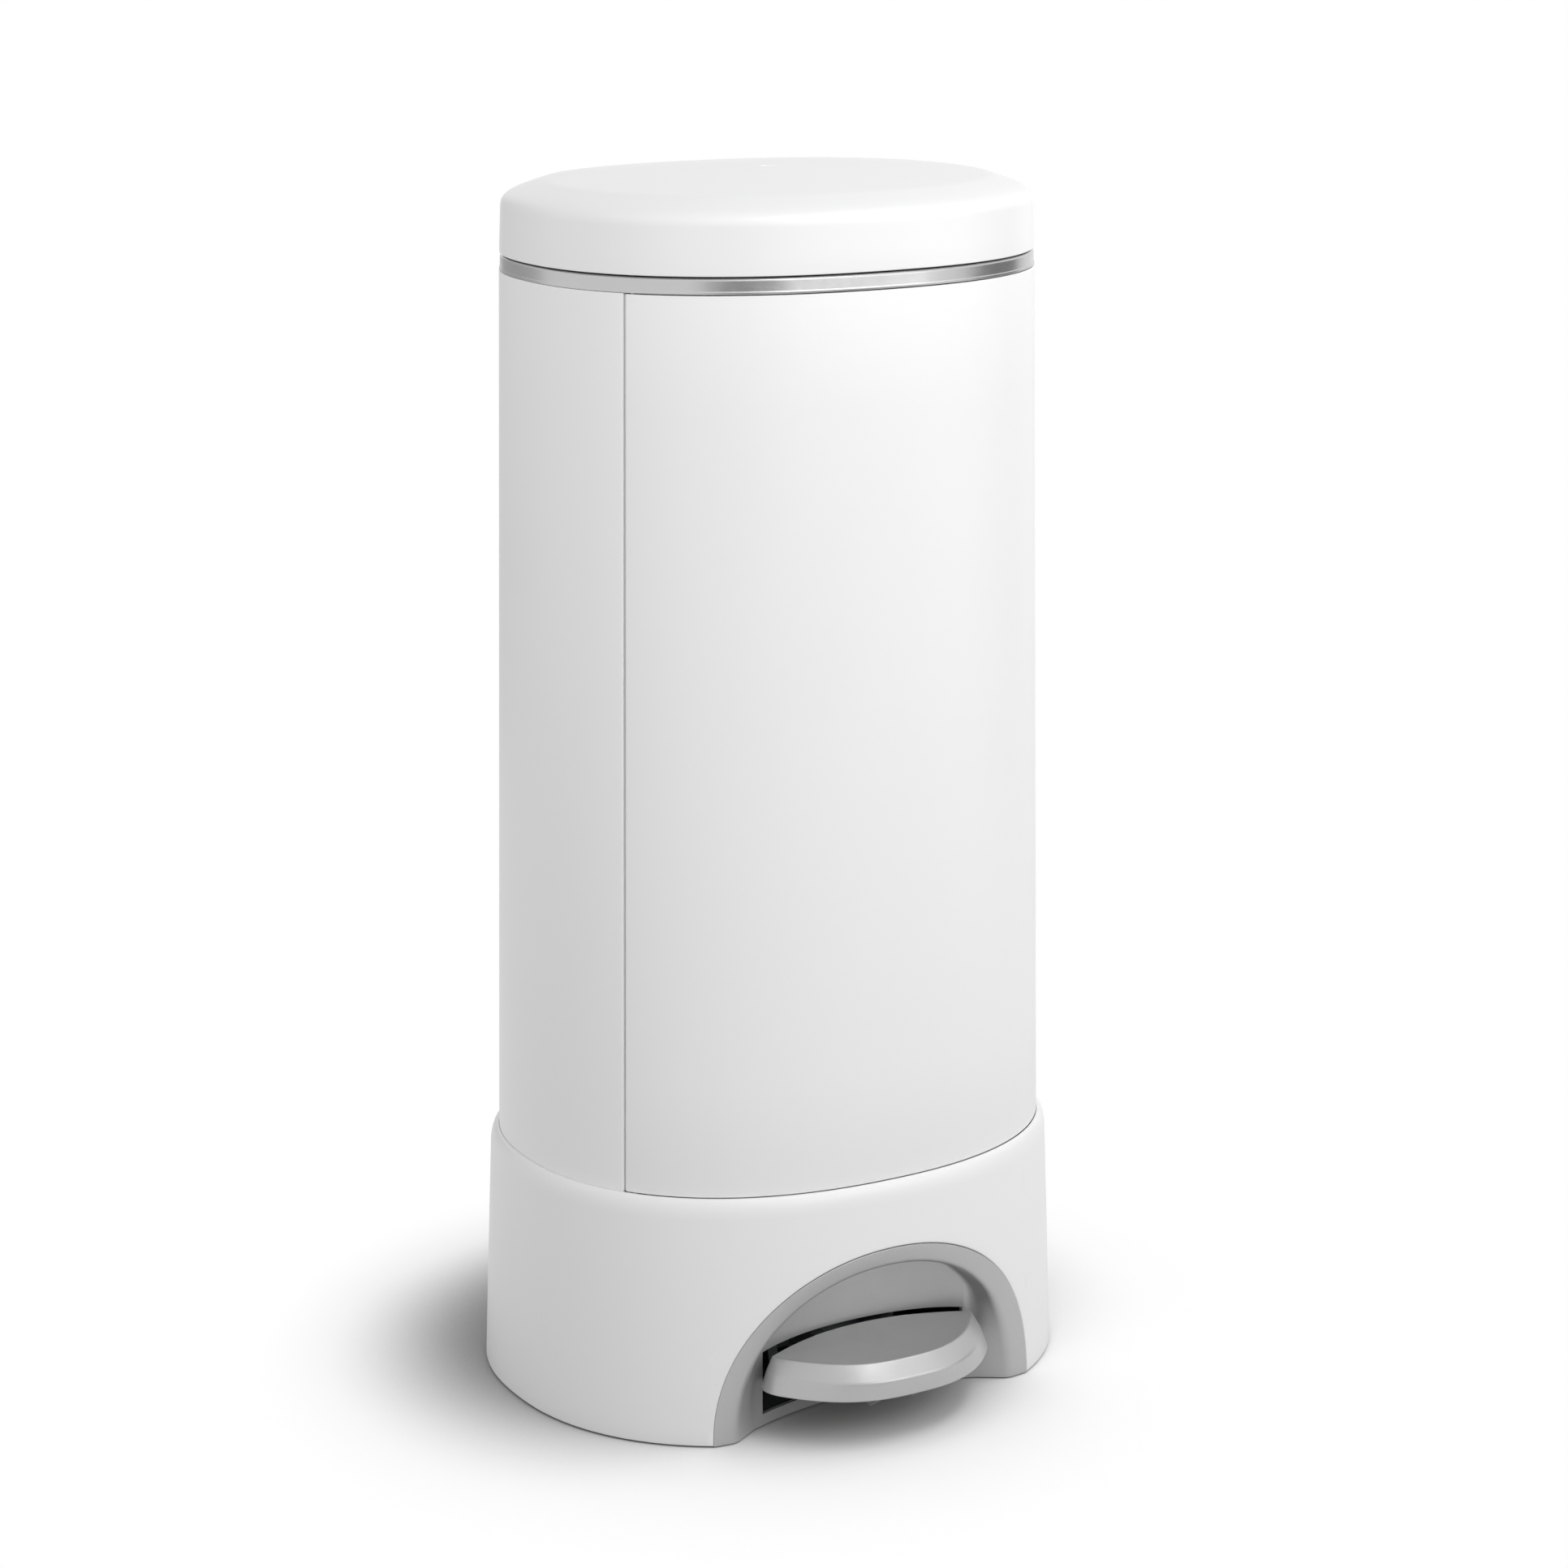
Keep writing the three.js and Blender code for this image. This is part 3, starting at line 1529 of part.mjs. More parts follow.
function deodoriserCover() {
  const disc = turned(
    [
      [0, cupBottom],
      [coverRadius, cupBottom],
      [coverRadius, coverTop],
      [0, coverTop],
    ],
    40,
  );
  const grip = block(
    -gripHalfLength,
    -gripHalfWidth,
    cupBottom - gripDepth,
    gripHalfLength,
    gripHalfWidth,
    cupBottom + clearance,
  );
  const slot = block(
    slotStart,
    -slotHalfWidth,
    cupBottom - cutOverrun,
    slotEnd,
    slotHalfWidth,
    coverTop + cutOverrun,
  );
  const turnEach = 360 / coverSlots;
  return spread(0, coverSlots - 1, coverSlots - 1)
    .map((i) => slot.rotate([0, 0, i * turnEach + turnEach / 2]))
    .reduce((shape, cut) => shape.subtract(cut), disc)
    .add(grip);
}

// Door hinge pins, upper and lower
const doorPin = (z0, z1) => bar(doorAxis(z0), doorAxis(z1), doorPinRadius, 16);
const lowerPin = () =>
  doorPin(ledgeTop + clearance, doorBottom + doorPinLength - clearance);
const upperPin = () => doorPin(doorTop - doorPinLength + clearance, deckHeight - clearance);

// Assembly: the plan's middle is moved so that the whole bin's box is centred on the origin
const bin = new THREE.Group();
bin.name = "nappy_bin";
bin.position.y = (pedalReach - halfDepth + skirtInset(floorGap)) / 2;

function add(name, shape, material, position) {
  const mesh = new THREE.Mesh(geometryOf(shape), material);
  mesh.name = name;
  if (position) mesh.position.set(...position);
  bin.add(mesh);
}

add("base_skirt", baseSkirt(), whiteSatin);
add("pedal_bay", pedalBay(), silver);
add("base_plate", basePlate(), darkPlastic);
const frontFootX = halfWidth - frontFootMargin;
const rearFootX = halfWidth - rearFootMargin;
const rearFootY = halfDepth - rearFootSetback;
const footPlaces = {
  foot_front_left: [-frontFootX, -frontFootReach, 0],
  foot_front_right: [frontFootX, -frontFootReach, 0],
  foot_rear_left: [-rearFootX, rearFootY, 0],
  foot_rear_right: [rearFootX, rearFootY, 0],
};
for (const [name, place] of Object.entries(footPlaces)) {
  add(name, footShape(), rubber, place);
}
screwSpots.forEach(([x, y], i) => {
  add("base_screw_" + (i + 1), screwShape(), steel, [x, y, 0]);
});
add("axle_bracket_left", axleBracket(-1), darkPlastic);
add("axle_bracket_right", axleBracket(1), darkPlastic);
add("pedal_axle", axleShape(), steel);
add("pedal_lever", pedalLever(), darkPlastic);
add("pedal_cap", pedalCap(), silver);
add("bin_floor", binFloor(), whiteSatin);
add("rear_shell", rearShell(), whiteSatin);
add("front_door", frontDoor(), whiteSatin);
add("door_pin_lower", lowerPin(), steel);
add("door_pin_upper", upperPin(), steel);
catchHeights.forEach((z, i) => {
  const level = ["lower", "upper"][i];
  add("catch_magnet_" + level, catchMagnet(z), darkPlastic);
  add("catch_plate_" + level, catchPlate(z), steel);
});
add("top_frame", topFrame(), whiteSatin);
add("silver_band", bandShape(), silver);
add("bag_ring", bagRing(), greyPlastic);
[-1, 1].forEach((side) => {
  const hand = side < 0 ? "left" : "right";
  add("seal_flap_" + hand, sealFlap(side), greyPlastic);
  add("flap_pin_" + hand, flapPin(side), steel);
  add("flap_spring_" + hand, flapSpring(side), steel);
  add("housing_screw_" + hand, housingScrew(side), steel);
});
add("rod_cover", rodCover(), whiteSatin);
add("rod_guide", rodGuide(), darkPlastic);
add("lift_rod", liftRod(), steel);
add("rod_spring", rodSpring(), steel);
add("spring_clip", springClip(), darkPlastic);
add("hinge_housing", hingeHousing(), whiteSatin);
add("lid_hinge_pin", lidPin(), steel);
add("lid_shell", lidShell(), whiteGloss);
add("lid_liner", lidLiner(), whiteSatin);
add("lid_gasket", lidGasket(), rubber);
add("deodoriser_cup", cupShape(), greyPlastic);
add("deodoriser_disc", powderDisc(), powder);
add("deodoriser_cover", deodoriserCover(), greyPlastic);

export default bin;
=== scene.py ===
import json
import math

import bmesh
import bpy
import numpy as np
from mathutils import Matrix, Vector

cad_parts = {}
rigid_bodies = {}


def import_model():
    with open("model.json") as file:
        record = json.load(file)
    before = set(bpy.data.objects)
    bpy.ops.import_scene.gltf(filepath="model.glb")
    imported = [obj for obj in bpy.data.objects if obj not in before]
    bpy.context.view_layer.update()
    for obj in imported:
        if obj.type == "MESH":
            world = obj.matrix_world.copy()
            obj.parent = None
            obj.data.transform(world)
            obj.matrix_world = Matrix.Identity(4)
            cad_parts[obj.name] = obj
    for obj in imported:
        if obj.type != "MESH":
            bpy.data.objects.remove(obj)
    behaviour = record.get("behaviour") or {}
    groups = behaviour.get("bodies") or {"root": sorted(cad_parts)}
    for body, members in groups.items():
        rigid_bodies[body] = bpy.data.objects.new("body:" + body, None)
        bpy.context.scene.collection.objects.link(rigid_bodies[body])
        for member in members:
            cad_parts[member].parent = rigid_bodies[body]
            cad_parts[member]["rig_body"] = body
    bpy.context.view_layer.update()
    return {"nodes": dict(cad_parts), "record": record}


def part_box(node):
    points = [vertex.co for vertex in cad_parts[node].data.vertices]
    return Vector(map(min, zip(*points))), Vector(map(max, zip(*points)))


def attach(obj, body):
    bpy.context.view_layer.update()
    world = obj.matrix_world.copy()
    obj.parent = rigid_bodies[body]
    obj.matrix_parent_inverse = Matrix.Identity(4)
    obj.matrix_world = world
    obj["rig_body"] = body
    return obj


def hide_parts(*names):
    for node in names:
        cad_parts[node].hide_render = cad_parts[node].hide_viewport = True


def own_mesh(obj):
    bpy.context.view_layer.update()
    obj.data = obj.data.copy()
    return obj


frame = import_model()
slots = {part["node"]: part["material_slot"] for part in frame["record"]["subparts"]}

bl_info = {
    "name": "Step-pedal nappy bin",
    "version": (1, 0, 0),
    "blender": (4, 5, 0),
    "location": "3D View > Sidebar > Nappy bin",
    "description": "Moulded shells, trims, mechanism and finishes of a nappy bin, built round its packed frame",
    "category": "Add Mesh",
}

# Lengths below are millimetres in the bin's own frame: x to the right, y to the back, z up, the middle of
# the body's plan on x = y = 0. Angles round the plan start at the front and turn to the right. The last
# number of a profile's corner is its easing length.
MM = 0.001
band_low, band_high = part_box("silver_band")
MIDDLE_Y = (band_low.y + band_high.y) / 2 / MM

# Plan outline: a superellipse, drawn in by an inset at each height
HALF_WIDTH = 150
HALF_DEPTH = 127
SQUARENESS = 2.25

# Heights, taper and flare of the body and the base
FLOOR_GAP = 0.8
RIM_HEIGHT = 136
BODY_TOP = 604.2
BODY_TAPER = 8.4
BASE_FLARE = 9.5
RIM_FLARE = 4.7
RIM_ROLL = 11.5
RIM_HALF_WIDTH = 4.5
SKIRT_WALL = 3
SKIRT_FOOT_ROUND = 1.8
SKIRT_ARCH_STEPS = 170
SKIRT_BACK_COLUMNS = 220
SHELL_WALL = 2.6
LEDGE_TOP = RIM_HEIGHT - RIM_ROLL
LEDGE_FOOT = LEDGE_TOP - 3
LEDGE_REACH = 11
SEAM_ANGLE = math.radians(60.7)
SOCKET_RADIUS = 3
SOCKET_BORE = 1.6

# Foot arch and bay. The bay's side walls are drawn in by a share of their way past the upright corners, and
# the corners' rounding turns from the roof's way to the side walls' over a width
ARCH_HALF_WIDTH = 98.5
ARCH_HEIGHT = 99.5
ARCH_POWER = 2.12
ARCH_GAP = 0.4
BAY_HALF_WIDTH = 85.8
BAY_HEIGHT = 87.4
TRIM_DEPTH = 5.1
TRIM_THICKNESS = 3
BAY_WALL = 2.6
BAY_DEPTH_LINE = 91.5
BAY_BOW = 10
BAY_BOW_WIDTH = 60
BAY_CORNER_AT = 68
BAY_CORNER_SOFT = 3
BAY_CORNER_DRAW = 0.94
BAY_CORNER_RADIUS = 3.5
BAY_SIDE_FROM = 56
BAY_SIDE_WIDTH = 14

# Arm slot in the bay's back wall: its edges, how far down the wall they lie at least, and the wall's rows
# above, across and below it
SLOT_HALF_WIDTH = 65.5
SLOT_BOTTOM = 7
SLOT_TOP = 44.4
SLOT_END_DROP = 2.2
SLOT_SHARES = (0.2, 0.67)
WALL_ROWS = (7, 3, 3)

# Pedal. An end shorter than a full one has smaller rounds at its front and rear corners, down to a least end
PEDAL_HALF_WIDTH = 69
PEDAL_REACH = 157
PEDAL_CORNER = 120
PEDAL_CURVE = 2.65
PEDAL_BACK = 95.3
PEDAL_BACK_BOW = 16
PEDAL_FOOT_BOW = 13.5
PEDAL_BOTTOM = 26
PEDAL_FACE_TOP = 36
PEDAL_TOP = 44
PEDAL_BEVEL_REACH = 8.2
PEDAL_END_DROP = 7
PEDAL_FACE_DROP = 3.1
PEDAL_FRONT_ROUND = 7
PEDAL_REAR_ROUND = 4.2
PEDAL_FULL_END = 8
PEDAL_LEAST_END = 0.6
PEDAL_BACK_EDGE = 0.8
PEDAL_WALL = 2.6
TREAD_SHARES = (0.06, 0.15, 0.27, 0.4, 0.53, 0.65, 0.76, 0.85, 0.92, 0.97)
ROOF_SHARES = (0.85, 0.6, 0.3)
FIN_X = 12.7
FIN_THICKNESS = 2
FIN_CORNERS = (
    (-151.5, 40, 0), (-151.5, 27, 0.5), (-131, 11.6, 1.5), (-108, 27, 1.5), (-108, 41.8, 0), (-146, 41.8, 0),
)

# Door, with a bead round its hinge and a return at its foot, and the shell's jambs
DOOR_BOTTOM = 136.25
DOOR_TOP = 603.7
DOOR_BEAD = 3.2
DOOR_BEAD_OUTER = 3.7
DOOR_SEAM_GAP = 0.6
DOOR_EDGE_GAP = 0.8
DOOR_FOOT_REACH = 6.2
DOOR_FOOT_THICKNESS = 2.5
DOOR_FOOT_GAPS = (4.8, 2)
JAMB_INSET = 1.4
JAMB_DEPTH = 12
JAMB_WIDTH = math.radians(1.1)
JAMB_BOTTOM = 143
JAMB_TOP = 582
SHELL_BOTTOM = 124.8
SHELL_TOP = 604.1

# Band, lid and hinge
BAND_BOTTOM = 604.3
BAND_TOP = 612.2
BAND_INSET = 8.5
BAND_DRAFT = 0.4
BAND_LIP_TOP = BAND_BOTTOM + 1.1
BAND_LIP_STEP = 0.35
RIM_OUTER_INSET = 9.5
RIM_INNER_INSET = 12.3
DECK_RIM_TOP = 611.2
LID_BOTTOM = 613
LID_WALL_TOP = 636.5
LID_INSET = 8.65
LID_DRAFT = 0.95
LID_WALL = 2.5
SHOULDER_WIDTH = 21.2
SHOULDER_HEIGHT = 13.9
CREASE_HEIGHT = LID_WALL_TOP + SHOULDER_HEIGHT
CROWN_HEIGHT = 5.1
GATE_DEPTH = 0.25
# Radius of a white disc painted on the middle of the lid's crown: a painted highlight that stands in for the small
# glint there
GATE_HIGHLIGHT_RADIUS = 4.2
HINGE_Y = 124.2
HINGE_Z = 617
KNUCKLE_RADIUS = 5
EAR_WIDTH = 11
EAR_STARTS = (-25, 14)
GASKET_CORNERS = ((33.5, 609.4, 1.4), (37.5, 609.4, 1.4), (37.5, 612.4, 0.5), (33.5, 612.4, 0.5))

# Springs: axis, mean radius, wire radius and turns
ROD_Y = 104
ROD_SPRING = (4.3, 0.7, 9)
FLAP_X = 84
FLAP_PIN_Z = 578.7
FLAP_SPRING = (2.6, 0.5, 3)
WIRE_SIDES = 10
STEPS_PER_TURN = 40

# Edge rounding of the frame's copies, by slot, and of some nodes by name
SLOT_ROUNDS = {
    "white_satin": 0.4, "grey_plastic": 0.35, "dark_plastic": 0.4, "steel": 0.2, "rubber": 0.4, "powder": 0.6,
}
NODE_ROUNDS = {"hinge_housing": 0.8, "catch_magnet_lower": 0.3, "catch_magnet_upper": 0.3}

# Camera: the photograph's viewpoint, and the azimuth and elevation in degrees that it looks along
CAMERA_LENS = 86.46
CAMERA_PLACE = (-0.98213, -1.70731, 0.83573)
CAMERA_LOOK = (60, -14.53)

# Studio: name, azimuth and elevation in degrees, distance, size and radiance of each lamp, and the point that
# they face; azimuth, half width and depth of each dark gap between them; and the strength of the even light
# near the horizon and overhead, with the sine of the elevation from which it falls
STUDIO_LAMPS = (
    ("key_right", -70, 22, 1.9, (1.5, 1.1), 1.68),
    ("high_right", -52, 63, 1.9, (1.7, 0.45), 3.4),
)
LAMP_AIM = (0, 0, 0.33)
STUDIO_GAPS = ((-8, 25, 1.0), (-109, 20, 0.8), (-72, 28, 0.9), (104, 32, 0.6))
WORLD_LIGHT = (1.08, 0.12)
WORLD_FALL_FROM = 0.35
# Floor, in metres: half its side, and the distances between which it runs out to white. Its shadow: direction
# it is measured toward, its reach, how much it is steepened, and the light that is left in it
FLOOR_HALF = 1.6
FLOOR_RUN_OUT = (0.17, 0.3)
FLOOR_LEAN = (0.3, -0.75, 0.62)
FLOOR_REACH = 0.09
FLOOR_DEPTH = 1.65
FLOOR_LEFT = (0.14, 0.14, 0.14, 1)
WHITE = (1, 1, 1, 1)


def length(name, description, default, low, high):
    """Length property whose default and limits are given in millimetres."""
    return bpy.props.FloatProperty(
        name=name, description=description, default=default * MM, min=low * MM, max=high * MM, unit="LENGTH"
    )


class NappyBinSizes(bpy.types.PropertyGroup):
    """Small sizes of the surfaces that the frame leaves open."""

    edge_round: length("Edge rounding", "Rounding of the thin shells' moulded edges", 0.5, 0.1, 1.2)
    trim_round: length("Trim rounding", "Rounding where the arch trim turns into the bay", 3.4, 0.5, 6)
    pedal_dish: length("Pedal dish", "How far the pedal's tread dips in its middle", 1.1, 0, 2)
    gate_radius: length("Gate mark radius", "Radius of the shallow moulding mark on the lid's crown", 3.6, 1, 6)


def linear(code):
    """Linear colour, with alpha 1, of an sRGB hex code."""
    values = [int(code[i : i + 2], 16) / 255 for i in (1, 3, 5)]
    return (*(v / 12.92 if v <= 0.04045 else ((v + 0.055) / 1.055) ** 2.4 for v in values), 1.0)


def colour(name, description, code):
    """Colour property that starts from an sRGB hex code."""
    return bpy.props.FloatVectorProperty(
        name=name, description=description, subtype="COLOR", size=4, min=0, max=1, default=linear(code)
    )


class NappyBinColours(bpy.types.PropertyGroup):
    """Colours of the bin's mouldings and metal parts."""

    lid_white: colour("Lid white", "Gloss white of the lid", "#f1f1f1")
    body_white: colour("Body white", "Satin white of the body and base", "#f1f1f1")
    silver: colour("Silver", "Metallic lacquer of the band, bay and pedal", "#bcbcbc")
    grey: colour("Grey", "Grey of the bag ring, flaps and deodoriser", "#9b9d9f")
    dark: colour("Dark grey", "Dark nylon of the mechanism", "#4b4e51")
    zinc: colour("Zinc", "Zinc-plated steel of pins, screws and springs", "#b9bcc0")
    rubber: colour("Rubber", "Rubber of the feet and the gasket", "#3a3c3e")
    powder: colour("Powder", "Pressed powder of the deodoriser disc", "#e8dfcb")
    floor: colour("Floor", "Studio floor", "#a4a4a4")


def size(name):
    """One of the scene's sizes, in millimetres."""
    return getattr(bpy.context.scene.nappy_bin_sizes, name) / MM


def colours():
    """The scene's colours."""
    return bpy.context.scene.nappy_bin_colours


# Surfaces

def full_turn(count):
    """Angles once round, evenly spaced."""
    return np.arange(count) / count * 2 * math.pi


def outline(angle, inset):
    """x and y of the bin's plan outline at a polar angle, both half sizes a and b shortened by the inset: a
    superellipse of radius (|sin / a|^power + |cos / b|^power)^(-1 / power)."""
    s = np.abs(np.sin(angle) / (HALF_WIDTH - inset)) ** SQUARENESS
    c = np.abs(np.cos(angle) / (HALF_DEPTH - inset)) ** SQUARENESS
    r = (s + c) ** (-1 / SQUARENESS)
    return r * np.sin(angle), -r * np.cos(angle)


def body_inset(z):
    """Inset of the body's face: zero up to the rim, then linear to the taper at the top."""
    return max(0.0, BODY_TAPER * (z - RIM_HEIGHT) / (BODY_TOP - RIM_HEIGHT))


def skirt_inset(z):
    """Inset of the base's face: linear from minus the base flare to minus the rim flare."""
    return -BASE_FLARE + (BASE_FLARE - RIM_FLARE) * z / LEDGE_TOP


def bezier(start, control, end, t):
    """Quadratic Bezier curve: (1 - t)^2 start + 2 t (1 - t) control + t^2 end."""
    return (1 - t) ** 2 * start + 2 * t * (1 - t) * control + t**2 * end


def eased_corner(before, corner, after, ease, steps):
    """Bezier corners for whole arrays of corners at once: (points, steps + 1, 3) from three (points, 3).
    Each side of a corner takes the easing length, or nearly half of its segment where that is shorter."""
    to_before, to_after = before - corner, after - corner
    first = np.linalg.norm(to_before, axis=1, keepdims=True)
    last = np.linalg.norm(to_after, axis=1, keepdims=True)
    start = corner + to_before / np.maximum(first, 1e-9) * np.minimum(ease, 0.48 * first)
    end = corner + to_after / np.maximum(last, 1e-9) * np.minimum(ease, 0.48 * last)
    t = np.linspace(0, 1, steps + 1)[None, :, None]
    return bezier(start[:, None], corner[:, None], end[:, None], t)


def eased(corners, steps=5):
    """Polyline through corners of any dimension, the last number of each being its easing length: a corner
    is swapped for the Bezier curve that starts and ends that far from it, and stays where that is 0."""
    points = [np.array([c[:-1]], float) for c in corners]
    out = []
    for i, corner in enumerate(corners):
        if corner[-1] > 0:
            after = points[(i + 1) % len(points)]
            out.append(eased_corner(points[i - 1], points[i], after, corner[-1], steps)[0])
        else:
            out.append(points[i])
    return np.concatenate(out)


def drawn_in(loop, distance):
    """Closed polyline drawn in by a distance: each point goes along the mean of its two normals, to the left
    where the loop turns to the left, which the sign of the sum of x dy - y dx tells, else to the right."""
    x, y = loop.T
    side = 1 if (x * np.roll(y, -1) - y * np.roll(x, -1)).sum() > 0 else -1
    ahead = np.roll(loop, -1, 0) - loop
    ahead /= np.maximum(np.linalg.norm(ahead, axis=1, keepdims=True), 1e-9)
    normal = np.stack([-ahead[:, 1], ahead[:, 0]], 1)
    mean = normal + np.roll(normal, 1, 0)
    mean /= np.maximum((mean**2).sum(1, keepdims=True) / 2, 0.5)
    return loop + mean * (side * distance)


def rounded_levels(start, end, radius, between=(), steps=4):
    """(place, inward) levels of a bar with rounded rims: at each end the place runs on by r (1 - sin v) and
    the section is drawn in by r (1 - cos v), v from 0 to a quarter turn."""
    rim = [(radius * (1 - math.sin(v)), radius * (1 - math.cos(v))) for v in np.linspace(0, math.pi / 2, steps)]
    levels = [(start + run, inward) for run, inward in rim[::-1]]
    levels += [(place, 0.0) for place in between]
    return levels + [(end - run, inward) for run, inward in rim]


def grid_quads(loops, count, closed=False):
    """Quads of a grid of closed loops of count points, the last loop joined to the first if closed."""
    i = np.arange(loops if closed else loops - 1)[:, None] * count
    j = np.arange(count)[None, :]
    ahead, beside = (i + count) % (loops * count), (j + 1) % count
    return np.stack([i + j, i + beside, ahead + beside, ahead + j], -1).reshape(-1, 4)


def closed_part(points, faces):
    """A closed surface with its faces turned outwards. The sum of a . (b x c) over their triangles a, b, c is
    six times the volume inside, and is negative where they point inwards."""
    points = np.asarray(points, float).reshape(-1, 3)
    faces = [list(map(int, f)) for f in faces]
    centred = points - points.mean(0)
    volume = 0.0
    for count in {len(f) for f in faces}:
        group = np.array([f for f in faces if len(f) == count])
        for k in range(1, count - 1):
            a, b, c = centred[group[:, 0]], centred[group[:, k]], centred[group[:, k + 1]]
            volume += (a * np.cross(b, c)).sum()
    return points, [f[::-1] for f in faces] if volume < 0 else faces


def ring_part(grid):
    """Closed surface of a grid that closes both ways, (columns, profile, 3)."""
    return closed_part(grid, grid_quads(*grid.shape[:2], closed=True))


def end_faces(loops, count):
    """The first and the last loop of a grid as one face each."""
    return [list(range(count)), list(range((loops - 1) * count, loops * count))[::-1]]


def capped_part(grid):
    """Closed surface of a grid of closed loops, (loops, points, 3), its first and last loop filled."""
    m, k = grid.shape[:2]
    return closed_part(grid, grid_quads(m, k).tolist() + end_faces(m, k))


def poled_part(grid, first, last):
    """Closed surface of a grid of closed loops with a pole point beyond its first and its last loop."""
    m, k = grid.shape[:2]
    points = np.concatenate([grid.reshape(-1, 3), [first, last]])
    j = np.arange(k)
    top = np.stack([np.full(k, m * k), (j + 1) % k, j], 1)
    foot = np.stack([np.full(k, m * k + 1), (m - 1) * k + j, (m - 1) * k + (j + 1) % k], 1)
    return closed_part(points, grid_quads(m, k).tolist() + top.tolist() + foot.tolist())


def profile_at(profile, angle):
    """Grid (angles, profile, 3) of a profile of (inset, z) or (inset, z, share) points carried round the
    outline, the share scaling x and y. There may be one profile, or one for each angle."""
    x, y = outline(angle[:, None], profile[..., 0])
    share = profile[..., 2] if profile.shape[-1] > 2 else 1
    return np.stack([x * share, y * share, np.broadcast_to(profile[..., 1], x.shape)], -1)


def sector_part(profile, start, end, columns, round_mm):
    """Shell over a sector of the outline, from a start to an end angle, with rounded ends."""
    radius = np.hypot(*outline(np.array([start, end]), profile[:, 0].mean())).mean()
    first, last = start * radius, end * radius
    between = np.linspace(first + round_mm, last - round_mm, columns)[1:-1]
    places, inwards = np.array(rounded_levels(first, last, round_mm, between, 5)).T
    return capped_part(profile_at(np.array([drawn_in(profile, inward) for inward in inwards]), places / radius))


def prism_part(loop, start, end, round_mm):
    """Flat closed loop of (y, z) points carried along x between two places, with rounded rims."""
    levels = rounded_levels(start, end, round_mm)
    return capped_part(np.array([np.insert(drawn_in(loop, inward), 0, x, axis=1) for x, inward in levels]))


def coil_part(start, end, radius, wire, turns):
    """Wound wire: its path is start + (end - start) t + radius (cos X + sin (axis x X)), with X the x axis,
    and it has circles square to that path, seen against the coil's axis."""
    start, end, sideways = np.array(start, float), np.array(end, float), np.array([1.0, 0, 0])
    axis = (end - start) / np.linalg.norm(end - start)
    t = np.linspace(0, 1, turns * STEPS_PER_TURN + 1)[:, None]
    turn = t * turns * 2 * math.pi
    path = start + (end - start) * t + radius * (np.cos(turn) * sideways + np.sin(turn) * np.cross(axis, sideways))
    along = np.gradient(path, axis=0)
    along /= np.linalg.norm(along, axis=1, keepdims=True)
    across = np.cross(along, axis)
    across /= np.linalg.norm(across, axis=1, keepdims=True)
    rise = np.cross(across, along)
    turn = full_turn(WIRE_SIDES)[None, :, None]
    return capped_part(path[:, None] + wire * (np.cos(turn) * across[:, None] + np.sin(turn) * rise[:, None]))


# Pieces' objects

def add_object(name, data, place=(0, 0, 0), look=None):
    """Adds an object to the scene, with its view along a direction where one is given."""
    added = bpy.data.objects.new(name, data)
    added.location = place
    if look is not None:
        added.rotation_mode = "QUATERNION"
        added.rotation_quaternion = look.to_track_quat("-Z", "Y")
    bpy.context.scene.collection.objects.link(added)
    return added


dressed_nodes = set()


def finish_piece(name, mesh, node, finish, sharp):
    """Object of a new mesh that stands for a node, with its body and its slot: smooth but for the edges
    sharper than an angle in degrees, and in the slot's finish where no other is given."""
    mesh.shade_smooth()
    mesh.set_sharp_from_angle(angle=math.radians(sharp))
    mesh.materials.append(material_of(finish or slots[node]))
    piece = add_object(name, mesh)
    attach(piece, frame["nodes"][node]["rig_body"])
    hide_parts(node)
    dressed_nodes.add(node)
    return piece


def make_piece(name, parts, node, sharp=50, finish=None):
    """Piece of closed parts in millimetres, placed in the row frame."""
    points, faces, offset = [], [], 0
    for part_points, part_faces in parts:
        points.append(part_points)
        faces += [[v + offset for v in f] for f in part_faces]
        offset += len(part_points)
    mesh = bpy.data.meshes.new(name)
    mesh.from_pydata(((np.concatenate(points) + (0, MIDDLE_Y, 0)) * MM).tolist(), [], faces)
    work = bmesh.new()
    work.from_mesh(mesh)
    bmesh.ops.remove_doubles(work, verts=work.verts, dist=2e-6)
    bmesh.ops.dissolve_degenerate(work, edges=work.edges, dist=1e-6)
    work.to_mesh(mesh)
    work.free()
    return finish_piece(name, mesh, node, finish, sharp)


def detailed_copy(node, bevel_mm, sharp=32):
    """Merged copy of a CAD node with flat faces joined, edges rounded by a Bevel and smooth round faces."""
    name = node + "_detailed"
    mesh = frame["nodes"][node].data.copy()
    mesh.name = name
    mesh.materials.clear()
    work = bmesh.new()
    work.from_mesh(mesh)
    bmesh.ops.remove_doubles(work, verts=work.verts, dist=1e-6)
    bmesh.ops.dissolve_limit(
        work, angle_limit=math.radians(0.6), verts=work.verts, edges=work.edges, use_dissolve_boundaries=False
    )
    work.to_mesh(mesh)
    work.free()
    bevel = finish_piece(name, mesh, node, None, sharp).modifiers.new("rounded_edges", "BEVEL")
    bevel.width = bevel_mm * MM
    bevel.segments = 2
    bevel.limit_method = "ANGLE"
    bevel.angle_limit = math.radians(sharp)
    bevel.use_clamp_overlap = True


# Materials

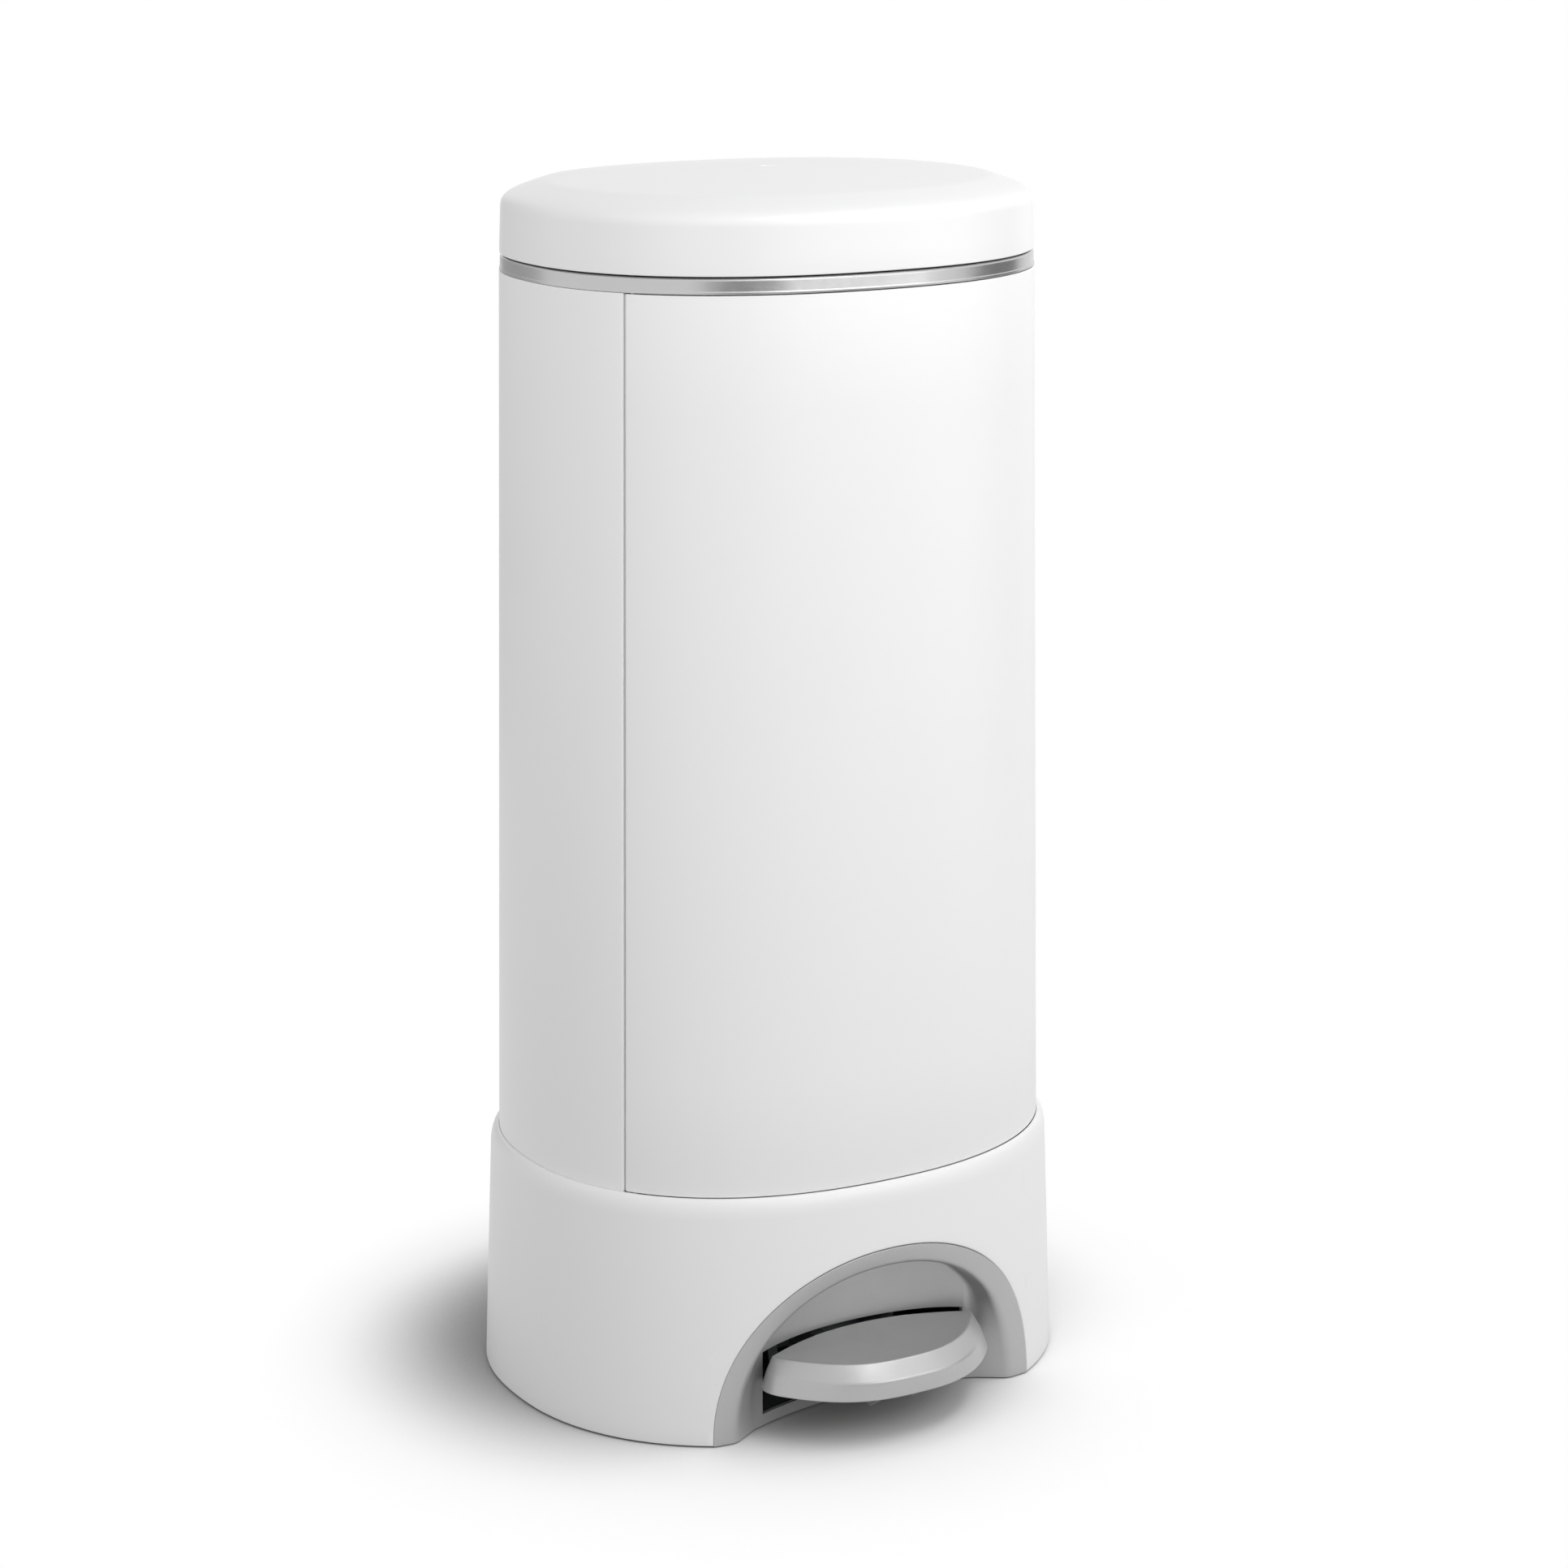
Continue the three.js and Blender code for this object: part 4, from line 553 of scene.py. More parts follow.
def add_node(tree, kind, links=(), **settings):
    """Adds a shader node of a kind. Settings are its own properties, or the value of an input where the name
    starts with in_ and goes on with the input's name or number; links are (input, node, output) triples."""
    node = tree.nodes.new("ShaderNode" + kind)
    for key, value in settings.items():
        if key.startswith("in_"):
            name = key[3:].replace("_", " ")
            node.inputs[int(name) if name.isdigit() else name].default_value = value
        else:
            setattr(node, key, value)
    for name, source, output in links:
        tree.links.new(source.outputs[output], node.inputs[name])
    return node


def empty_tree(owner):
    """The emptied node tree of a material or a world."""
    owner.use_nodes = True
    owner.node_tree.nodes.clear()
    return owner.node_tree


def tinted(base, share):
    """A colour times a share, each part at most 1, with alpha 1."""
    return [min(1.0, c * share) for c in base[:3]] + [1.0]


def finished(name, base, shades, tint_by, sheen_by, sheen, bumps, highlight_radius_mm=0, **surface):
    """Material whose colour runs between two shades of a base by one noise and whose roughness runs between
    two values by another, with bumps of (noise, height in mm) on each other. A noise is (size in mm, detail,
    roughness). An optional painted highlight is a disc of plain white of a radius about the upright line
    through the bin's middle, standing in for a small glint. Surface gives the shader's own inputs."""
    material = bpy.data.materials.new(name)
    tree = empty_tree(material)
    place = add_node(tree, "TexCoord")
    noises = {}
    for noise in dict.fromkeys((tint_by, sheen_by, *(noise for noise, height in bumps))):
        noises[noise] = add_node(
            tree, "TexNoise", [("Vector", place, "Object")],
            in_Scale=1 / (noise[0] * MM), in_Detail=noise[1], in_Roughness=noise[2],
        )
    tint = add_node(
        tree, "Mix", [("Factor", noises[tint_by], "Fac")], data_type="RGBA",
        in_A=tinted(base, shades[0]), in_B=tinted(base, shades[1]),
    )
    # Painted highlight: inside the radius the tint is mixed to plain white, a disc that stands in for the crown's
    # small glint
    if highlight_radius_mm:
        middle = add_node(
            tree, "Mapping", [("Vector", place, "Object")],
            in_Scale=(1, 1, 0), in_Location=(0, -MIDDLE_Y * MM, 0),
        )
        span = add_node(tree, "VectorMath", [("Vector", middle, "Vector")], operation="LENGTH")
        highlight_disc = add_node(
            tree, "MapRange", [("Value", span, "Value")], in_From_Min=highlight_radius_mm * MM,
            in_From_Max=(highlight_radius_mm + 0.4) * MM, in_To_Min=1.0, in_To_Max=0.0,
        )
        tint = add_node(
            tree, "Mix", [("Factor", highlight_disc, "Result"), ("A", tint, "Result")],
            data_type="RGBA", in_B=WHITE,
        )
    satin = add_node(
        tree, "MapRange", [("Value", noises[sheen_by], "Fac")],
        in_From_Min=0.3, in_From_Max=0.7, in_To_Min=sheen[0], in_To_Max=sheen[1],
    )
    normal = []
    for noise, height_mm in bumps:
        bump = add_node(
            tree, "Bump", [("Height", noises[noise], "Fac"), *normal],
            in_Strength=1.0, in_Distance=height_mm * MM,
        )
        normal = [("Normal", bump, "Normal")]
    shader = add_node(
        tree, "BsdfPrincipled", [("Base Color", tint, "Result"), ("Roughness", satin, "Result"), *normal],
        **surface,
    )
    add_node(tree, "OutputMaterial", [("Surface", shader, "BSDF")])
    return material


def moulded(name, tone, roughness, ior, grain_mm, grain_height_mm, tint_share, sheet_mm=60, wave_mm=0, highlight_radius_mm=0):
    """Moulded plastic: one grain of bumps, a slow drift in tint and roughness, an optional slow wave of
    the surface such as a thick moulding shows where it shrank, and an optional white disc painted on as a highlight."""
    base, drift = getattr(colours(), tone), (sheet_mm, 2, 0.5)
    bumps = [((grain_mm, 3, 0.55), grain_height_mm)]
    if wave_mm:
        bumps.append(((sheet_mm, 1, 0.5), wave_mm))
    return finished(
        name, base, (1 - tint_share, 1), drift, drift, (roughness * 0.94, roughness * 1.06), bumps, highlight_radius_mm,
        in_IOR=ior,
    )


def silver_lacquer(name, lift, smooth, metallic):
    """ABS sprayed with a fine metallic lacquer: aluminium flakes in a satin binder, so that it shines
    broadly like brushed metal, with a faint sparkle and mottle."""
    base = tinted(colours().silver, lift)
    # Real flakes are 0.02 mm; drawn at 0.35 mm, the finest that a render of the whole bin still shows
    flake, mottle = (0.35, 2, 0.6), (9, 3, 0.6)
    return finished(
        name, base, (0.86, 1.08), flake, mottle, (smooth, smooth + 0.07), [(flake, 0.006)], in_Metallic=metallic
    )


def zinc_plated_steel():
    """Bright zinc-plated steel: drawn wire and turned pins with a clear passivated skin, so the shine is
    soft and slightly cloudy."""
    cloud = (2.5, 4, 0.6)
    return finished("zinc_plated_steel", colours().zinc, (0.85, 1), cloud, cloud, (0.22, 0.36), [], in_Metallic=1)


# Moulded finishes: name, colour, roughness, IOR, grain in mm, its height, share of tint, and where they aren't
# 60, 0 and 0 the size of the drift, the height of the slow wave and the radius of the painted highlight disc
MOULDED = {
    # Gloss ABS, injection moulded in a polished tool: clear soft reflections, hardly any grain, and a white disc
    # painted on the crown's middle as a highlight
    "white_gloss": ("abs_gloss_moulded", "lid_white", 0.31, 1.53, 4, 0.001, 0.01, 60, 0.03, GATE_HIGHLIGHT_RADIUS),
    # Satin ABS, injection moulded in a finely eroded tool: broad highlights and a fine grain
    "white_satin": ("abs_satin_moulded", "body_white", 0.4, 1.53, 0.7, 0.006, 0.015, 60, 0.04),
    # Polypropylene in a sand-blasted tool: waxy and even
    "grey_plastic": ("polypropylene_moulded", "grey", 0.48, 1.49, 0.8, 0.012, 0.04),
    # Glass-filled nylon: dark, dull, with short fibres near its surface
    "dark_plastic": ("glass_filled_nylon_moulded", "dark", 0.55, 1.53, 0.5, 0.02, 0.12, 12),
    # Styrene rubber, pressed: nearly matt with a fine orange peel
    "rubber": ("rubber_pressed", "rubber", 0.75, 1.52, 0.6, 0.02, 0.1, 15),
    # Pressed deodorising powder: chalky grains that hold to each other
    "powder": ("powder_pressed", "powder", 0.95, 1.5, 0.8, 0.12, 0.12, 6),
}
# Lacquered finishes: name, lift of the silver, lowest roughness and metallic. The band's is finer and paler
LACQUERED = {
    "silver": ("abs_metallic_lacquer", 1, 0.34, 0.5),
    "silver_band": ("abs_metallic_lacquer_fine", 1.12, 0.2, 0.75),
}
made_materials = {}


def material_of(finish):
    """The material of a finish, made the first time that a piece asks for it."""
    if finish not in made_materials:
        if finish == "steel":
            made_materials[finish] = zinc_plated_steel()
        elif finish in MOULDED:
            made_materials[finish] = moulded(*MOULDED[finish])
        else:
            made_materials[finish] = silver_lacquer(*LACQUERED[finish])
    return made_materials[finish]


# Base, bay and pedal

def arch(half_span, height, t):
    """x and z of the arch: half span times cos^(2 / power) and height times sin^(2 / power), signs kept, and
    z no lower than the gap over the floor."""
    c, s = np.cos(t), np.sin(t)
    c = np.where(np.abs(c) < 1e-9, 0, c)
    x = half_span * np.sign(c) * np.abs(c) ** (2 / ARCH_POWER)
    return x, np.maximum(height * np.abs(s) ** (2 / ARCH_POWER), FLOOR_GAP)


def skirt_front(x, z):
    """y of the base's front face at an x and a height: -b (1 - |x / a|^power)^(1 / power)."""
    a = HALF_WIDTH - skirt_inset(z)
    b = HALF_DEPTH - skirt_inset(z)
    return -b * (1 - np.abs(x / a) ** SQUARENESS) ** (1 / SQUARENESS)


def bay_line(x):
    """y of the bay's back wall: a parabola."""
    return -BAY_DEPTH_LINE - BAY_BOW * (x / BAY_BOW_WIDTH) ** 2


def base_skirt_parts():
    """Skirt: columns all round. Over the arch each column starts at the arch's height, at the polar angle
    where the arch's edge meets the flared face. Its profile goes up the face, over the rolled rim (a quarter
    of an ellipse up to the body), down to the ledge, along it and down the inner face."""
    x, foot = arch(ARCH_HALF_WIDTH + ARCH_GAP, ARCH_HEIGHT + ARCH_GAP, np.linspace(0, math.pi, SKIRT_ARCH_STEPS + 1))
    angle = np.arctan2(x, -skirt_front(x, foot))
    angle = np.minimum.accumulate(angle - np.arange(len(x)) * 1e-6)
    behind = np.linspace(angle[-1] + 2 * math.pi, angle[0], SKIRT_BACK_COLUMNS + 2)[1:-1]
    angle = np.concatenate([angle, behind])
    foot = np.concatenate([foot, np.full(len(behind), FLOOR_GAP)])[:, None]

    edge = size("edge_round") * SKIRT_FOOT_ROUND
    turn = np.linspace(0, math.pi / 2, 5)
    up = foot + edge * (1 - np.cos(turn))
    rows = [(skirt_inset(up) + edge * (1 - np.sin(turn)), up)]
    face = up[:, -1:] + (LEDGE_TOP - up[:, -1:]) * np.linspace(0, 1, 16)[1:]
    rows.append((skirt_inset(face), face))
    roll = np.linspace(math.pi, math.pi / 2, 22)[1:]
    rim = RIM_HALF_WIDTH - RIM_FLARE
    rows.append((rim + RIM_HALF_WIDTH * np.cos(roll), LEDGE_TOP + RIM_ROLL * np.sin(roll)))
    inner = eased(
        [
            (rim, LEDGE_TOP + RIM_ROLL, 0), (rim, LEDGE_TOP, 0.6), (LEDGE_REACH, LEDGE_TOP, 0.5),
            (LEDGE_REACH, LEDGE_FOOT, 0.5), (skirt_inset(LEDGE_FOOT) + SKIRT_WALL, LEDGE_FOOT, 0),
        ]
    )
    rows.append(inner[1:].T)
    down = LEDGE_FOOT - (LEDGE_FOOT - foot) * np.linspace(0, 1, 7)[1:]
    rows.append((skirt_inset(down) + SKIRT_WALL, down))
    profile = np.concatenate([np.stack([inset + 0 * foot, z + 0 * foot], -1) for inset, z in rows], 1)
    return [ring_part(profile_at(profile, angle)), door_socket_part()]


def seam_frame(z):
    """Point on the left seam at a height, and the unit vectors along the face to the door and inwards."""
    inset = body_inset(z)
    at = np.array(outline(-SEAM_ANGLE, inset))
    along = np.array(outline(-SEAM_ANGLE + 1e-3, inset)) - at
    along /= np.linalg.norm(along)
    return at, along, np.array([-along[1], along[0]])


def door_axis(z):
    """x and y of the door's hinge axis at a height: one bead radius in from the face and past the seam."""
    at, along, inward = seam_frame(z)
    return at + along * (DOOR_BEAD + DOOR_SEAM_GAP) + inward * DOOR_BEAD


def door_socket_part():
    """Tube on the base's ledge that holds the door's lower pin: a profile turned about the door's axis."""
    foot, top = (LEDGE_TOP + LEDGE_FOOT) / 2, DOOR_BOTTOM - 0.6
    profile = eased(
        [(SOCKET_RADIUS, foot, 0), (SOCKET_RADIUS, top, 0.4), (SOCKET_BORE, top, 0.4), (SOCKET_BORE, foot, 0)], 3
    )
    turn = full_turn(32)[:, None]
    x, y = door_axis(top)
    radius, z = profile.T
    return ring_part(np.stack([x + radius * np.cos(turn), y + radius * np.sin(turn), z + 0 * turn], -1))


class BaseSkirt(bpy.types.Operator):
    """Base: flared skirt with a rolled rim, its foot arch cut out, and the door pin's socket"""

    bl_idname = "nappy_bin.base_skirt"
    bl_label = "Base skirt"

    def execute(self, context):
        make_piece("base_skirt_moulding", base_skirt_parts(), "base_skirt")
        return {"FINISHED"}


def pedal_bay_part():
    """Bay: for each step along the arch, a closed loop that runs over the trim, round into the tunnel, round
    down the back wall and back behind all three. Two of the steps lie on the arm slot's ends and two of the
    back wall's rows on its edges. The faces inside are left out, and a rim joins the wall's two sides."""
    slot_turn = math.acos((SLOT_HALF_WIDTH / BAY_HALF_WIDTH) ** (ARCH_POWER / 2))
    ends = np.array([slot_turn, math.pi - slot_turn])
    t = np.linspace(0, math.pi, 181)
    t = np.sort(np.concatenate([t[np.abs(t[:, None] - ends).min(1) > 0.005], ends]))
    left, right = np.searchsorted(t, ends).tolist()
    outer_x, outer_z = arch(ARCH_HALF_WIDTH, ARCH_HEIGHT, t)
    inner_x, inner_z = arch(BAY_HALF_WIDTH, BAY_HEIGHT, t)
    behind_x, behind_z = arch(BAY_HALF_WIDTH + BAY_WALL, BAY_HEIGHT + BAY_WALL, t)
    front = np.stack([outer_x, skirt_front(outer_x, outer_z), outer_z], 1)
    lip = np.stack([inner_x, skirt_front(inner_x, inner_z) + TRIM_DEPTH, inner_z], 1)

    # The side walls run in from the trim to an upright corner in the back wall, the roof straight back. The
    # side walls are drawn in by a share of the soft maximum of 0 and the way past the corner
    span, side = np.abs(inner_x), np.sign(inner_x)
    past = span - BAY_CORNER_AT
    drawn = (past + np.hypot(past, BAY_CORNER_SOFT)) / 2 - BAY_CORNER_SOFT**2 / 4 / BAY_CORNER_AT
    corner_x = side * (span - np.maximum(BAY_CORNER_DRAW * drawn, 0))
    deep = np.maximum(bay_line(corner_x), lip[:, 1])
    corner = np.stack([corner_x, deep, inner_z], 1)
    sideways = np.clip((span - BAY_SIDE_FROM) / BAY_SIDE_WIDTH, 0, 1)[:, None]
    sideways = sideways * sideways * (3 - 2 * sideways)
    inward_x = corner_x - side * BAY_SIDE_WIDTH
    inward = np.stack([inward_x, bay_line(inward_x), inner_z], 1)
    floor = corner * (1, 1, 0) + (0, 0, FLOOR_GAP)
    onward = floor * (1 - sideways) + inward * sideways
    trim_back = front + (0, TRIM_THICKNESS, 0)
    lip_back = np.stack([behind_x, lip[:, 1] + TRIM_THICKNESS, behind_z], 1)
    corner_back_y = np.maximum(deep + BAY_WALL, lip_back[:, 1] + 0.1)
    corner_back = np.stack([corner_x + side * BAY_WALL, corner_back_y, behind_z], 1)

    edge = eased_corner(trim_back, front, lip, size("edge_round"), 3)
    rolled = eased_corner(front, lip, corner, size("trim_round"), 9)
    hollow = eased_corner(lip, corner, onward, BAY_CORNER_RADIUS, 9)
    wall_x, wall_y, start = hollow[:, -1].T
    # The slot's upper edge drops a little towards its ends
    slot_edge = SLOT_TOP - SLOT_END_DROP * (wall_x / SLOT_HALF_WIDTH) ** 4
    slot_top = np.minimum(slot_edge, start + (FLOOR_GAP - start) * SLOT_SHARES[0])
    slot_bottom = np.minimum(SLOT_BOTTOM, start + (FLOOR_GAP - start) * SLOT_SHARES[1])
    levels = np.stack([start, slot_top, slot_bottom, np.full(len(t), FLOOR_GAP)], 1)
    z = np.concatenate(
        [
            levels[:, i : i + 1] + (levels[:, i + 1] - levels[:, i])[:, None] * np.linspace(0, 1, rows + 1)[1:]
            for i, rows in enumerate(WALL_ROWS)
        ],
        1,
    )
    wall = np.stack([wall_x[:, None] + 0 * z, wall_y[:, None] + 0 * z, z], -1)
    wall_back = wall[:, ::-1] + (0, BAY_WALL, 0)
    bends = np.concatenate([edge, rolled, hollow], 1)
    behind = np.stack([corner_back, lip_back, trim_back], 1)
    grid = np.concatenate([bends, wall, wall_back, behind], 1)

    m, k = grid.shape[:2]
    first = bends.shape[1]
    rows_above, slot_rows = WALL_ROWS[:2]
    top_row, back_top = first + rows_above - 1, first + 2 * sum(WALL_ROWS) - rows_above
    quads = grid_quads(m, k)
    column, row = quads[:, 0] // k, quads[:, 0] % k
    in_front = (row >= top_row) & (row < top_row + slot_rows)
    in_back = (row >= back_top - slot_rows) & (row < back_top)
    hole = (column >= left) & (column < right) & (in_front | in_back)
    # The walk round the slot: (step along the arch, row below its upper edge)
    walk = [(i, 0) for i in range(left, right)] + [(right, j) for j in range(slot_rows)]
    walk += [(i, slot_rows) for i in range(right, left, -1)] + [(left, j) for j in range(slot_rows, 0, -1)]
    rim = np.array([(i * k + top_row + j, i * k + back_top - j) for i, j in walk])
    ahead = np.roll(rim, -1, 0)
    rim_faces = np.stack([ahead[:, 0], rim[:, 0], rim[:, 1], ahead[:, 1]], 1)
    return closed_part(grid, quads[~hole].tolist() + rim_faces.tolist() + end_faces(m, k))


class PedalBay(bpy.types.Operator):
    """Bay: arch trim, tunnel and back wall in one lacquered moulding, with the slot for the pedal's arms"""

    bl_idname = "nappy_bin.pedal_bay"
    bl_label = "Pedal bay"

    def execute(self, context):
        make_piece("pedal_bay_moulding", [pedal_bay_part()], "pedal_bay")
        return {"FINISHED"}


def pedal_loop(half, reach, corner, back, bow):
    """Plan loop of the pedal: front y = (reach - corner) |s|^curve - reach, back y = -back - bow s^2, joined
    at each end through two Bezier corners that meet in the middle of the end."""
    share = min(1.0, (corner - back - bow) / PEDAL_FULL_END)
    front_slope = math.hypot(half, (reach - corner) * PEDAL_CURVE)
    s_front = np.linspace(-1, 1, 61) * (1 - PEDAL_FRONT_ROUND * share / front_slope)
    s_rear = np.linspace(1, -1, 41) * (1 - PEDAL_REAR_ROUND * share / math.hypot(half, 2 * bow))
    front = np.stack([half * s_front, (reach - corner) * np.abs(s_front) ** PEDAL_CURVE - reach], 1)
    rear = np.stack([half * s_rear, -back - bow * s_rear**2], 1)
    t = np.linspace(0, 1, 9)[1:-1, None]
    parts = []
    for side, first, last, ends in ((1, front, rear, (corner, back + bow)), (-1, rear, front, (back + bow, corner))):
        near, far = (np.array([side * half, -y]) for y in ends)
        middle = (near + far) / 2
        parts += [first, bezier(first[-1], near, middle, t), middle[None], bezier(middle, far, last[0], t)]
    return np.concatenate(parts)


def pedal_parts():
    """Pedal: plan loops over a section of (inward, end drop, z) corners, from the tread over the bevel, the
    face and back under the hollow cap, closed at two poles, and two fins. The tread dips by dish (1 - share^2)
    towards its pole."""
    wall = PEDAL_WALL
    section = eased(
        [
            (PEDAL_BEVEL_REACH + 3, PEDAL_END_DROP + 3, PEDAL_TOP - 0.3, 0),
            (PEDAL_BEVEL_REACH, PEDAL_END_DROP, PEDAL_TOP, 1.3),
            (0, PEDAL_FACE_DROP, PEDAL_FACE_TOP, 1.3),
            (0, 0, PEDAL_BOTTOM, 1.2),
            (wall, wall, PEDAL_BOTTOM, 0.4),
            (wall, wall + PEDAL_FACE_DROP * 0.9, PEDAL_FACE_TOP - 1, 1.0),
            (wall + PEDAL_BEVEL_REACH, wall + PEDAL_END_DROP, PEDAL_TOP - wall, 0),
        ],
        6,
    )
    lowest = int(np.argmin(section[:, 2]))
    loops = []
    for i, (inward, drop, z) in enumerate(section):
        share = min(drop / PEDAL_END_DROP, 1)
        bow = PEDAL_FOOT_BOW + (PEDAL_BACK_BOW - PEDAL_FOOT_BOW) * share
        # The back edge is rounded over the last millimetre at the top and at the foot
        shift = PEDAL_BACK_EDGE * max(0.0, 1 - (PEDAL_TOP - z)) if i < lowest else wall
        back = PEDAL_BACK + max(shift, PEDAL_BACK_EDGE * max(0.0, 1 - (z - PEDAL_BOTTOM)))
        corner = max(PEDAL_CORNER - drop, back + bow + PEDAL_LEAST_END)
        flat = pedal_loop(PEDAL_HALF_WIDTH - drop, PEDAL_REACH - inward, corner, back, bow)
        loops.append(np.insert(flat, 2, z, axis=1))
    tread, roof = loops[0], loops[-1]
    centre = np.array([0, tread[:, 1].mean(), 0])
    dish = size("pedal_dish")
    dished = [(s, tread[0, 2] - dish * (1 - s * s)) for s in (0, *TREAD_SHARES)]
    hollow = [(s, roof[0, 2]) for s in (*ROOF_SHARES, 0)]
    inside = [centre + (tread - centre) * (s, s, 0) + (0, 0, z) for s, z in dished]
    under = [centre + (roof - centre) * (s, s, 0) + (0, 0, z) for s, z in hollow]
    cap = poled_part(np.array(inside[1:] + loops + under[:-1]), inside[0][0], under[-1][0])
    fin = eased(FIN_CORNERS)
    return [cap, *(prism_part(fin, x - FIN_THICKNESS / 2, x + FIN_THICKNESS / 2, 0.4) for x in (-FIN_X, FIN_X))]


class PedalCap(bpy.types.Operator):
    """Pedal: lens-shaped cap with a bevelled front, a dished tread and two stop fins"""

    bl_idname = "nappy_bin.pedal_cap"
    bl_label = "Pedal cap"

    def execute(self, context):
        make_piece("pedal_cap_moulding", pedal_parts(), "pedal_cap", sharp=60)
        return {"FINISHED"}


# Body, door and band

class RearShell(bpy.types.Operator):
    """Rear shell: the fixed back of the body, with an inward jamb along each seam"""

    bl_idname = "nappy_bin.rear_shell"
    bl_label = "Rear shell"

    def execute(self, context):
        edge = size("edge_round")
        top = body_inset(SHELL_TOP)
        profile = eased(
            [
                (0, SHELL_BOTTOM, edge), (0, RIM_HEIGHT, 0), (top, SHELL_TOP, edge / 2),
                (top + SHELL_WALL, SHELL_TOP, edge), (SHELL_WALL, RIM_HEIGHT, 0), (SHELL_WALL, SHELL_BOTTOM, edge),
            ],
            4,
        )
        low, high = body_inset(JAMB_BOTTOM), body_inset(JAMB_TOP)
        jamb = eased(
            [
                (low + JAMB_INSET, JAMB_BOTTOM, 0), (high + JAMB_INSET, JAMB_TOP, 0),
                (high + JAMB_DEPTH, JAMB_TOP, 3), (low + JAMB_DEPTH, JAMB_BOTTOM, 3),
            ]
        )
        back = 2 * math.pi - SEAM_ANGLE
        setback = edge / HALF_WIDTH / 2
        parts = [
            sector_part(profile, SEAM_ANGLE, back, 240, edge),
            sector_part(jamb, SEAM_ANGLE + setback, SEAM_ANGLE + JAMB_WIDTH, 4, 0.4),
            sector_part(jamb, back - JAMB_WIDTH, back - setback, 4, 0.4),
        ]
        make_piece("rear_shell_moulding", parts, "rear_shell", sharp=45)
        return {"FINISHED"}


def door_loop(z, inward):
    """Plan loop of the door at a height: its outer arc from the edge by the seam, its eased free edge, its
    inner arc, and the round of the hinge bead, axis + r (cos t along + sin t inwards), all drawn in alike."""
    inset = body_inset(z)
    axis = door_axis(z)
    _, along, inward_axis = seam_frame(z)
    radius = math.hypot(*axis)
    past = math.sqrt(DOOR_BEAD_OUTER**2 - DOOR_BEAD**2)
    inside = math.sqrt(DOOR_BEAD_OUTER**2 - (DOOR_BEAD - SHELL_WALL) ** 2)
    hinge = -SEAM_ANGLE + (DOOR_BEAD + DOOR_SEAM_GAP) / radius
    end = SEAM_ANGLE - DOOR_EDGE_GAP / radius
    outer = np.stack(outline(np.linspace(hinge - past / radius, end, 112), inset), 1)
    inner = np.stack(outline(np.linspace(end, hinge + inside / radius, 104), inset + SHELL_WALL), 1)
    edge = size("edge_round")
    free = eased([(*outer[-2], 0), (*outer[-1], edge), (*inner[0], edge), (*inner[1], 0)], 4)
    turns = math.atan2(SHELL_WALL - DOOR_BEAD, inside), math.atan2(-DOOR_BEAD, -past) + 2 * math.pi
    turn = np.linspace(*turns, 34)[1:-1, None]
    bead = axis + DOOR_BEAD_OUTER * (np.cos(turn) * along + np.sin(turn) * inward_axis)
    corner = eased([(*bead[-1], 0), (*outer[0], 0.3), (*outer[1], 0)], 3)
    return drawn_in(np.concatenate([corner[1:-1], outer[1:-2], free, inner[2:], bead]), inward)


class FrontDoor(bpy.types.Operator):
    """Front door: curved panel with a round bead on its hinge side and a stiffening return at its foot"""

    bl_idname = "nappy_bin.front_door"
    bl_label = "Front door"

    def execute(self, context):
        between = np.linspace(DOOR_BOTTOM + 60, DOOR_TOP - 60, 5)
        levels = rounded_levels(DOOR_BOTTOM, DOOR_TOP, size("edge_round"), between)
        panel = capped_part(np.array([np.insert(door_loop(z, inward), 2, z, axis=1) for z, inward in levels]))
        low, high = DOOR_BOTTOM + 0.1, DOOR_BOTTOM + DOOR_FOOT_THICKNESS
        middle, reach = SHELL_WALL / 2, DOOR_FOOT_REACH
        foot = eased([(middle, low, 0), (middle, high, 0), (reach, high, 0.5), (reach, low, 0.5)], 3)
        hinge_gap, free_gap = (gap / HALF_WIDTH for gap in DOOR_FOOT_GAPS)
        foot = sector_part(foot, -SEAM_ANGLE + hinge_gap, SEAM_ANGLE - free_gap, 90, 0.4)
        make_piece("front_door_moulding", [panel, foot], "front_door", sharp=45)
        return {"FINISHED"}


class SilverBand(bpy.types.Operator):
    """Silver band: thin trim between lid and body, with a fine lip along its foot"""

    bl_idname = "nappy_bin.silver_band"
    bl_label = "Silver band"

    def execute(self, context):
        profile = eased(
            [
                (BAND_INSET, BAND_BOTTOM, 0.2), (BAND_INSET, BAND_LIP_TOP, 0.25),
                (BAND_INSET + BAND_LIP_STEP, BAND_LIP_TOP + BAND_LIP_STEP, 0.2),
                (BAND_INSET + BAND_DRAFT + 0.1, BAND_TOP - 1, 0.5),
                (BAND_INSET + BAND_DRAFT + 1, BAND_TOP, 0.4), (RIM_INNER_INSET, BAND_TOP, 0.3),
                (RIM_INNER_INSET, DECK_RIM_TOP, 0), (RIM_OUTER_INSET, DECK_RIM_TOP, 0),
                (RIM_OUTER_INSET, BAND_BOTTOM, 0),
            ],
            4,
        )
        ring = ring_part(profile_at(profile, full_turn(360)))
        make_piece("silver_band_trim", [ring], "silver_band", finish="silver_band")
        return {"FINISHED"}


# Lid

